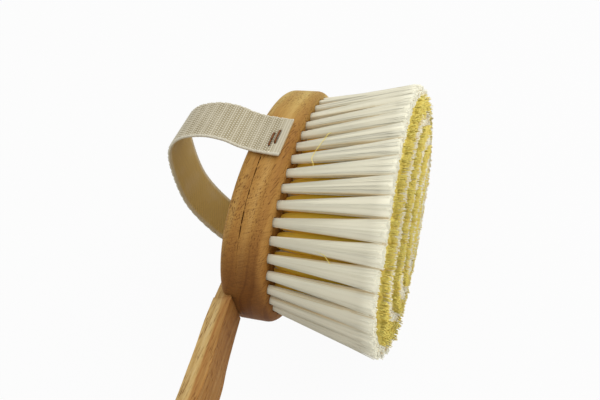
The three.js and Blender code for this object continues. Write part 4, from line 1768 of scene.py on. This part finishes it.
@dataclass
class Bristles:
    """The bristle field: an ivory outer ring, and straw and ivory tufts inside it."""

    SCRATCH_VALUES: ClassVar[tuple[str, ...]] = (
        "disc", "section", "short", "stray", "foot", "tip", "turn", "outward", "rim", "lean", "firm",
    )

    plan: TuftPlan
    fibre_radius: float = 0.17
    seed: int = 40
    middle_spread: float = 4.2
    loose_radius: float = 0.13
    loose_sides: int = 5
    loose_steps: int = 40
    loose_tone: float = 0.8
    loose_paths: tuple[tuple[Triple, ...], ...] = (
        ((-16.0, 36.5, 32.0), (-14.6, 38.1, 31.6), (-12.3, 38.4, 30.5), (-8.2, 38.8, 31.0),
         (-3.7, 39.2, 32.3), (0.7, 39.5, 33.6), (3.5, 39.2, 34.1), (6.0, 37.5, 34.8)),
        ((-50.4, 25.5, 38.6), (-51.4, 27.1, 40.6), (-52.6, 27.1, 44.2), (-54.0, 26.4, 45.9),
         (-55.3, 25.6, 47.4), (-55.8, 24.6, 49.0)),
    )

    def _tuft_points(self, name: str, tufts: Sequence[Tuft]) -> bpy.types.Object:
        """A point for each tuft, with its foot, tip and turn.

        Args:
            name: The piece's name.
            tufts: The tufts.

        Returns:
            The object that the tree grows fibres on.
        """
        feet = placed(np.array([tuft.foot for tuft in tufts]))
        tips = placed(np.array([tuft.tip for tuft in tufts]))
        piece = mesh_piece(name, feet, [])
        ways = np.array([(tuft.outward[0], 0.0, tuft.outward[1]) for tuft in tufts])
        for label, values in (("foot", feet), ("tip", tips), ("outward", ways)):
            store = piece.data.attributes.new(label, "FLOAT_VECTOR", "POINT")
            store.data.foreach_set("vector", values.astype(np.float32).ravel())
        set_values(piece.data, "rim", [tuft.rim for tuft in tufts])
        draw = np.random.default_rng(self.seed + len(tufts))
        set_values(piece.data, "turn", draw.uniform(0, 2 * math.pi, len(tufts)))
        return piece

    def _grow(
        self, tree: FibreTree, name: str, row: TuftRow, tufts: Sequence[Tuft], finish: FibreFinish,
        parting: Optional[float],
    ) -> bpy.types.Object:
        """Grows the fibres of some tufts of a row.

        Args:
            tree: The fibre tree.
            name: The piece's name.
            row: The row that the tufts are in.
            tufts: The tufts.
            finish: The fibre's finish.
            parting: Where ivory and straw part in a two-tone tuft, or None for a tuft of one colour.

        Returns:
            The piece as plain mesh.
        """
        piece = self._tuft_points(name, tufts)
        grow = piece.modifiers.new("fibres", "NODES")
        grow.node_group = tree.tree
        values = {
            "Fibres": row.fibres, "Foot radius": row.foot_radius * MM, "Tip radius": row.tip_radius * MM,
            "Tip depth": row.tip_depth * MM, "Fibre radius": self.fibre_radius * MM,
            "Seed": self.seed + len(tufts), "Fibre": finish.material(), "Core end": row.core_end,
            "Ragged": row.ragged * MM, "Outer reach": row.outer_reach * MM, "Flare power": row.flare_power,
        }
        if parting is not None:
            values |= {"Parting": parting, "Turned": -1.0 if finish is IVORY_FIBRE else 1.0}
        for label, value in values.items():
            grow[tree.inputs[label]] = value
        settle(piece)
        self._shade_as_tufts(piece.data)
        for label in self.SCRATCH_VALUES:
            store = piece.data.attributes.get(label)
            if store is not None:
                piece.data.attributes.remove(store)
        return piece

    @staticmethod
    def _shade_as_tufts(mesh: bpy.types.Mesh) -> None:
        """Turns the fibres' normals outwards from their tuft, so that a tuft is shaded as one soft form.

        Args:
            mesh: The fibres' mesh.
        """
        count = len(mesh.vertices)
        own, lean = np.zeros(count * 3, np.float32), np.zeros(count * 3, np.float32)
        firm = np.zeros(count, np.float32)
        mesh.vertex_normals.foreach_get("vector", own)
        mesh.attributes["lean"].data.foreach_get("vector", lean)
        mesh.attributes["firm"].data.foreach_get("value", firm)
        normals = own.reshape(-1, 3) * firm[:, None] + lean.reshape(-1, 3)
        normals /= np.linalg.norm(normals, axis=1, keepdims=True) + 1e-9
        mesh.normals_split_custom_set_from_vertices(normals.tolist())

    @staticmethod
    def _picked(row: TuftRow, numbers: Sequence[int]) -> tuple[list[Tuft], list[str]]:
        """Some of the outer ring's tufts, and the names of their nodes."""
        return [row.tufts[i] for i in numbers], [f"outer_tuft_{i + 1:02d}" for i in numbers]

    def build(self) -> list[bpy.types.Object]:
        """Makes the fibre pieces row by row.

        Returns:
            The pieces.
        """
        tree = FibreTree()
        outer, ring_2, ring_3, ring_4, middle = self.plan.rows
        outer = replace(outer, fibres=400, foot_radius=1.5, flare_power=1.25, core_end=0.994)
        ring_2 = replace(ring_2, fibres=340, foot_radius=2.25, flare_power=0.35, tip_depth=6.8)
        ring_2 = replace(ring_2, ragged=1.9, outer_reach=2.6)
        middle = replace(middle, tip_radius=middle.tip_radius + self.middle_spread)
        numbers = range(len(outer.tufts))
        near = [i for i in numbers if outer.tufts[i].foot[1] > 0]
        far = [i for i in numbers if i not in near]
        dyes = {"ivory": (IVORY_FIBRE, Slot.IVORY), "straw": (STRAW_FIBRE, Slot.STRAW)}
        plans = [
            ("outer_tufts_near_side", outer, *self._picked(outer, near), dyes["ivory"], None),
            ("outer_tufts_far_side", outer, *self._picked(outer, far), dyes["ivory"], None),
        ]
        two_tone = (
            ("tuft_ring_2", ring_2, ("straw", "ivory"), -0.02),
            ("tuft_ring_3", ring_3, ("ivory", "straw"), -0.05),
            ("tuft_ring_4", ring_4, ("straw", "ivory"), 0.05),
            ("tuft_middle_row", middle, ("ivory", "straw"), -0.2),
        )
        for node, row, colours, parting in two_tone:
            for colour, nodes in zip(colours, ([node], [])):
                plans.append((f"{node}_{colour}", row, row.tufts, nodes, dyes[colour], parting))
        pieces = []
        for name, row, tufts, nodes, (finish, slot), parting in plans:
            piece = self._grow(tree, name, row, tufts, finish, parting)
            pieces.append(hand_over(piece, finish, Body.HEAD, nodes))
        pieces.append(hand_over(self._loose_fibres(), STRAW_FIBRE, Body.HEAD))
        return pieces

    def _loose_fibres(self) -> bpy.types.Object:
        """The loose straw fibres that curl over the near tufts.

        Returns:
            The piece.
        """
        turn = 2 * math.pi * np.arange(self.loose_sides) / self.loose_sides
        turn = turn[None, :, None]
        skins = []
        for path in self.loose_paths:
            line = smooth_line(np.array(path), self.loose_steps)
            tangent = np.gradient(line, axis=0)
            tangent /= np.linalg.norm(tangent, axis=1, keepdims=True)
            first = np.cross(tangent, [0.0, 1.0, 0.0])
            first /= np.linalg.norm(first, axis=1, keepdims=True)
            second = np.cross(tangent, first)
            ring = np.cos(turn) * first[:, None] + np.sin(turn) * second[:, None]
            skins.append(loft(list(line[:, None] + ring * self.loose_radius)))
        piece = skin_piece("loose_straw_fibres", joined_skins(skins), 180)
        count = len(piece.data.vertices)
        set_values(piece.data, "tone", np.full(count, self.loose_tone))
        set_values(piece.data, "run", np.ones(count))
        return piece


@dataclass
class Strap:
    """The hand strap: cotton webbing, flat on both side walls and looped over the back."""

    width: float = 23.9
    thickness: float = 1.5
    shift: float = -1.55
    seat: float = 41.1
    end_level: float = 17.0
    loop_rise: float = 41.0
    wall_levels: Span = (8.35, 4.5)
    wall_run: float = 18.0
    rib_start: float = 4.4
    rib_pitch: float = 4.65
    rib_width: float = 0.36
    rib_share: float = 0.09
    columns: int = 3
    yarn_pitch: float = 1.3
    rows_along: int = 672
    rows_across: int = 116
    inner_across: int = 10
    route_steps: int = 6000
    skew: float = -1.6
    skew_run: float = 20.0
    staple_half: float = 4.3
    staple_press: float = 0.62
    loop: tuple[Span, ...] = (
        (1.03, 0.05), (1.105, 0.22), (1.135, 0.46), (1.06, 0.745), (0.85, 0.93), (0.45, 0.995),
        (-0.02, 0.96), (-0.45, 0.745), (-0.81, 0.4), (-0.98, 0.09),
    )

    def _route(self) -> tuple[np.ndarray, np.ndarray, np.ndarray]:
        """The strap's centre line at even steps.

        Returns:
            Points (across, level), outward directions there, and the distances from the near end.
        """
        near = [(1, level) for level in (self.end_level, *self.wall_levels)]
        bow = [(across, -rise * self.loop_rise) for across, rise in self.loop]
        far = [(-across, level) for across, level in near[::-1]]
        knots = np.array([(across * self.seat, level) for across, level in near + bow + far])
        fine = smooth_line(knots, self.route_steps)
        run = np.concatenate([[0], np.cumsum(np.linalg.norm(np.diff(fine, axis=0), axis=1))])
        at = np.linspace(0, run[-1], self.rows_along)
        line = np.column_stack([np.interp(at, run, fine[:, 0]), np.interp(at, run, fine[:, 1])])
        tangent = np.gradient(line, axis=0)
        tangent /= np.linalg.norm(tangent, axis=1, keepdims=True)
        return line, np.column_stack([-tangent[:, 1], tangent[:, 0]]), at

    def _relief(self, across: np.ndarray, run: np.ndarray, length: float) -> np.ndarray:
        """The weave's height on the outer face: thick ribs across, and yarn crowns in columns between them.

        Args:
            across: Places across the strap, from -1 to 1 times half its width.
            run: Distances from the near end.
            length: The strap's length.

        Returns:
            Heights in millimetres.
        """
        from_end = np.minimum(run, length - run)
        phase = (run - self.rib_start) / self.rib_pitch
        turn = phase - np.floor(phase)
        rib = np.exp(-((np.minimum(turn, 1 - turn) * self.rib_pitch / self.rib_width) ** 2))
        column = np.clip((turn - self.rib_share) / (1 - 2 * self.rib_share), 0, 0.9999) * self.columns
        number = np.floor(column)
        local = column - number - 0.5
        slant = np.where(number % 2 == 0, 0.4, -0.4) * local
        yarn = across / self.yarn_pitch + 0.5 * (number % 2) + slant
        bead = np.cos(math.pi * (yarn - np.round(yarn))) ** 2
        crown = np.cos(math.pi * local) ** 2
        weave = 0.5 * crown ** 0.8 * bead * (1 - rib) + rib * (0.26 + 0.06 * bead)
        band = 1 - smooth_step(3.2, 4.0, from_end)
        lines = 0.16 + 0.1 * np.cos(math.pi * from_end / 1.25) ** 2
        return weave * (1 - band) + lines * band

    def _sway(self, share: np.ndarray) -> np.ndarray:
        """How far the loop leans along the head at a share of its length."""
        return np.interp(share, [0, 0.12, 0.3, 0.55, 0.8, 1], [0.3, 1.0, 1.0, 0.0, -0.5, -0.5])

    def _pressed(self, along: np.ndarray, level: np.ndarray, run: np.ndarray, length: float) -> np.ndarray:
        """How far the staples press the cloth in.

        Args:
            along: Places along the head.
            level: Levels on the side walls.
            run: Distances from the near end.
            length: The strap's length.

        Returns:
            Depths in millimetres.
        """
        depth = np.zeros_like(along)
        on_wall = (run < self.wall_run) | (run > length - self.wall_run)
        for place, at in STAPLE_PLACES:
            inside = 1 - smooth_step(self.staple_half + 0.1, self.staple_half + 0.8, np.abs(along - place))
            depth = np.maximum(depth, inside * np.exp(-(((level - at) / self.staple_press) ** 2)))
        return self.staple_press * depth * on_wall

    @staticmethod
    def _face(along: np.ndarray, height: np.ndarray, line: np.ndarray, outward: np.ndarray) -> np.ndarray:
        """A face's points, at heights off the centre line.

        Args:
            along: Places along the head, row by row.
            height: Heights off the centre line there.
            line: The centre line's points.
            outward: The outward directions there.

        Returns:
            Points in brush millimetres, row by row.
        """
        seat = line[:, None, :] + outward[:, None, :] * height[..., None]
        return np.stack([along, seat[..., 0], seat[..., 1]], axis=-1)

    @staticmethod
    def _eased(share: np.ndarray, start: float) -> np.ndarray:
        """How much of its height a face keeps near the strap's edges, from a share of the half width on."""
        past = np.clip(np.abs(share) - start, 0, 1) / (1 - start)
        return np.sqrt(np.clip(1 - past ** 2 * 0.75, 0, 1))

    def build(self) -> bpy.types.Object:
        """Makes the strap as one closed strip with its weave in the mesh.

        Returns:
            The piece.
        """
        line, outward, run = self._route()
        length = float(run[-1])
        half = self.width / 2
        skew = self.skew * (1 - smooth_step(0, self.skew_run, run))
        shift = (self.shift + skew + self._sway(run / length))[:, None]
        grid_u, grid_run = np.meshgrid(np.linspace(-1, 1, self.rows_across), run)
        edge = np.abs(grid_u)
        wave = np.cos(2 * math.pi * (run - self.rib_start) / self.rib_pitch)[:, None]
        across = grid_u * half + np.sign(grid_u) * (0.1 * wave * smooth_step(0.86, 1.0, edge))
        along = across + shift
        level = np.broadcast_to(line[:, 1:2], along.shape)
        relief = self._relief(grid_u * half, grid_run, length)
        selvage = 0.16 * np.exp(-(((edge - 0.95) / 0.03) ** 2))
        height = (self.thickness / 2 - 0.3 + relief + selvage) * self._eased(grid_u, 0.93)
        height = height - self._pressed(along, level, grid_run, length)
        outer = self._face(along, height, line, outward)
        inner_u = np.linspace(-1, 1, self.inner_across)
        twill = 0.04 * np.cos(2 * math.pi * self.columns * run / self.rib_pitch)[:, None]
        low = -(self.thickness / 2) * self._eased(inner_u, 0.9)[None, :] + twill
        inner = self._face(inner_u[None, :] * half + shift, low, line, outward)
        inner_across = np.broadcast_to(inner_u * half, inner.shape[:2])
        piece = self._strip(outer, inner)
        # How lit the outer face is painted: the crowns and selvage light, painted shade in the weave's
        # hollows; the inner face gets a fixed value.
        lit = np.maximum(relief / 0.5, 0.9 * smooth_step(0.9, 0.96, edge))
        values = {
            "relief": (lit, np.full(inner_across.size, 0.4)),
            "inside": (np.zeros(relief.size), np.ones(inner_across.size)),
            "strap_run": (grid_run, np.repeat(run, self.inner_across)),
            "strap_across": (across, inner_across),
        }
        for name, (on_outer, on_inner) in values.items():
            set_values(piece.data, name, np.concatenate([on_outer.ravel(), on_inner.ravel()]))
        hand_over(piece, WEBBING, Body.HEAD, ["hand_strap"])
        LOG.info("strap cut: %.1f by %.1f mm", self.width, length)
        return piece

    def _strip(self, outer: np.ndarray, inner: np.ndarray) -> bpy.types.Object:
        """Joins the outer and inner faces into one closed strip.

        Args:
            outer: The outer face's points, row by row along the strap.
            inner: The inner face's points, with the same rows.

        Returns:
            The object.
        """
        rows, wide = outer.shape[:2]
        slim = inner.shape[1]
        start = rows * wide
        faces = []
        for i in range(rows - 1):
            for j in range(wide - 1):
                a = i * wide + j
                faces.append([a, a + 1, a + wide + 1, a + wide])
            for j in range(slim - 1):
                a = start + i * slim + j
                faces.append([a, a + slim, a + slim + 1, a + 1])
            left, left_in = i * wide, start + i * slim
            faces.append([left, left + wide, left_in + slim, left_in])
            right, right_in = i * wide + wide - 1, start + i * slim + slim - 1
            faces.append([right, right_in, right_in + slim, right + wide])
        for i, turned in ((0, True), (rows - 1, False)):
            top = [i * wide + j for j in range(wide)]
            under = [start + i * slim + j for j in range(slim)]
            face = top + under[::-1]
            faces.append(face[::-1] if turned else face)
        points = np.concatenate([outer.reshape(-1, 3), inner.reshape(-1, 3)])
        return skin_piece("hand_strap_webbing", (points, faces), 180)


@dataclass
class Staples:
    """The strap's staples: round-cornered copper wire, pressed into the webbing."""

    crown: float = 8.6
    wire_width: float = 0.85
    wire_thickness: float = 0.6
    top: float = 42.3
    leg_end: float = 35.0
    straight_leg: float = 2.0
    corner: float = 0.7
    section_points: int = 12
    section_bend: float = 0.55

    def _path(self) -> tuple[np.ndarray, np.ndarray]:
        """The wire's centre line and the directions across it, in the staple's own plane.

        Returns:
            Points (along, outward) and unit directions at right angles to the line.
        """
        half = (self.crown - self.wire_thickness) / 2
        top = self.top - self.wire_thickness / 2
        left = [(-half, self.leg_end), (-half, self.leg_end + self.straight_leg)]
        for turn in np.linspace(0, math.pi / 2, 6):
            inset, drop = 1 - math.cos(turn), 1 - math.sin(turn)
            left.append((-half + self.corner * inset, top - self.corner * drop))
        middle = [(x, top) for x in np.linspace(-half + 2 * self.corner, half - 2 * self.corner, 5)]
        points = np.array(left + middle + [(-x, y) for x, y in left[::-1]])
        tangent = np.gradient(points, axis=0)
        tangent /= np.linalg.norm(tangent, axis=1, keepdims=True)
        return points, np.column_stack([-tangent[:, 1], tangent[:, 0]])

    def _section(self) -> np.ndarray:
        """The wire's section: a flat oval.

        Returns:
            Its points, across the wire's width and its thickness.
        """
        turn = 2 * math.pi * np.arange(self.section_points) / self.section_points
        bend = self.section_bend
        first = np.sign(np.cos(turn)) * np.abs(np.cos(turn)) ** bend * self.wire_width / 2
        second = np.sign(np.sin(turn)) * np.abs(np.sin(turn)) ** bend * self.wire_thickness / 2
        return np.column_stack([first, second])

    def build(self) -> list[bpy.types.Object]:
        """Makes the four staples.

        Returns:
            The pieces.
        """
        points, normals = self._path()
        section = self._section()
        pieces = []
        for side, word in ((1, "near"), (-1, "far")):
            for number, (place, level) in enumerate(STAPLE_PLACES, 1):
                rings = []
                for (x, out), (nx, nout) in zip(points, normals):
                    ring = np.column_stack([
                        place + x + nx * section[:, 1],
                        side * (out + nout * section[:, 1]),
                        level + side * section[:, 0],
                    ])
                    rings.append(ring)
                piece = skin_piece(f"{word}_staple_{number}_wire", loft(rings), 50)
                pieces.append(hand_over(piece, COPPER, Body.HEAD, [f"{word}_staple_{number}"]))
        return pieces


@dataclass
class Studio:
    """The camera at the photograph's viewing angle, soft light from above, and a pale floor."""

    lens: float = 32.204
    sensor_width: float = 36.0
    clip_start: float = 0.01
    place: Triple = (-0.16963, -0.01640, 0.18728)
    right: Triple = (0.2665, -0.9530, -0.1443)
    up: Triple = (0.7209, 0.0977, 0.6861)
    key_from: Triple = (0.36, -0.6, 0.71)
    key_distance: float = 1.1
    key_size: float = 0.75
    key_watts: float = 3.4
    world_low: float = 0.52
    world_high: float = 1.0
    floor_drop: float = 0.0005
    floor_reach: float = 6.0

    def _camera(self) -> None:
        """Places the camera."""
        data = bpy.data.cameras.new("view")
        data.lens = self.lens
        data.sensor_width = self.sensor_width
        data.clip_start = self.clip_start
        camera = bpy.data.objects.new("view", data)
        right, up = Vector(self.right).normalized(), Vector(self.up)
        back = right.cross(up).normalized()
        up = back.cross(right)
        turn = Matrix((right, up, back)).transposed().to_4x4()
        camera.matrix_world = Matrix.Translation(self.place) @ turn
        bpy.context.scene.collection.objects.link(camera)
        bpy.context.scene.camera = camera

    def _key(self) -> None:
        """Hangs the soft light over the brush."""
        data = bpy.data.lights.new("softbox", "AREA")
        data.shape = "DISK"
        data.size = self.key_size
        data.energy = self.key_watts
        lamp = bpy.data.objects.new("softbox", data)
        away = Vector(self.key_from).normalized()
        turn = away.to_track_quat("Z", "Y").to_matrix().to_4x4()
        lamp.matrix_world = Matrix.Translation(away * self.key_distance) @ turn
        bpy.context.scene.collection.objects.link(lamp)

    def _world(self) -> None:
        """Makes the room: even light, and white where the camera sees it."""
        world = bpy.data.worlds.new("room")
        world.use_nodes = True
        world.node_tree.nodes.clear()
        sheet = NodeSheet(world.node_tree)
        direct = sheet.seen_directly()
        facing = sheet.signal("ShaderNodeTexCoord", "Generated", vector=True)
        above = sheet.signal(
            "ShaderNodeVectorMath", "Value", {"operation": "DOT_PRODUCT"},
            {0: facing, 1: Vector(self.key_from).normalized()},
        )
        level = above.rise(-0.7, 0.9) * (self.world_high - self.world_low) + self.world_low
        strength = direct * (1 - level) + level
        feeds = {"Color": (1.0, 1.0, 1.0), "Strength": strength}
        light = sheet.signal("ShaderNodeBackground", 0, feeds=feeds)
        sheet.add("ShaderNodeOutputWorld", feeds={"Surface": light})
        bpy.context.scene.world = world

    def _floor(self) -> None:
        """Lays the floor under the brush."""
        level = CAD_BOX[0][2] - self.floor_drop
        signs = ((-1, -1), (1, -1), (1, 1), (-1, 1))
        corners = np.array([(x * self.floor_reach, y * self.floor_reach, level) for x, y in signs])
        floor = mesh_piece("floor", corners, [[0, 1, 2, 3]])
        floor.data.materials.append(FLOOR.material())

    def build(self) -> None:
        """Sets the studio up."""
        self._camera()
        self._key()
        self._world()
        self._floor()
        bpy.context.scene.view_settings.view_transform = "Standard"


def dress_draw_wire() -> None:
    """Gives the hidden draw wire its steel."""
    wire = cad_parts["draw_wire"]
    for holder in wire.material_slots:
        holder.material = STEEL.material()
    LOG.info("draw_wire: steel")


def main() -> None:
    """Builds the brush piece by piece and sets the studio up round it."""
    logging.basicConfig(level=logging.INFO, format="%(name)s: %(message)s")
    oval = Oval()
    plan = TuftPlan(oval)
    Studio().build()
    WoodenHead(oval, plan).build()
    Handle().build()
    Strap().build()
    Staples().build()
    Bristles(plan).build()
    dress_draw_wire()


if __name__ == "__main__":
    main()
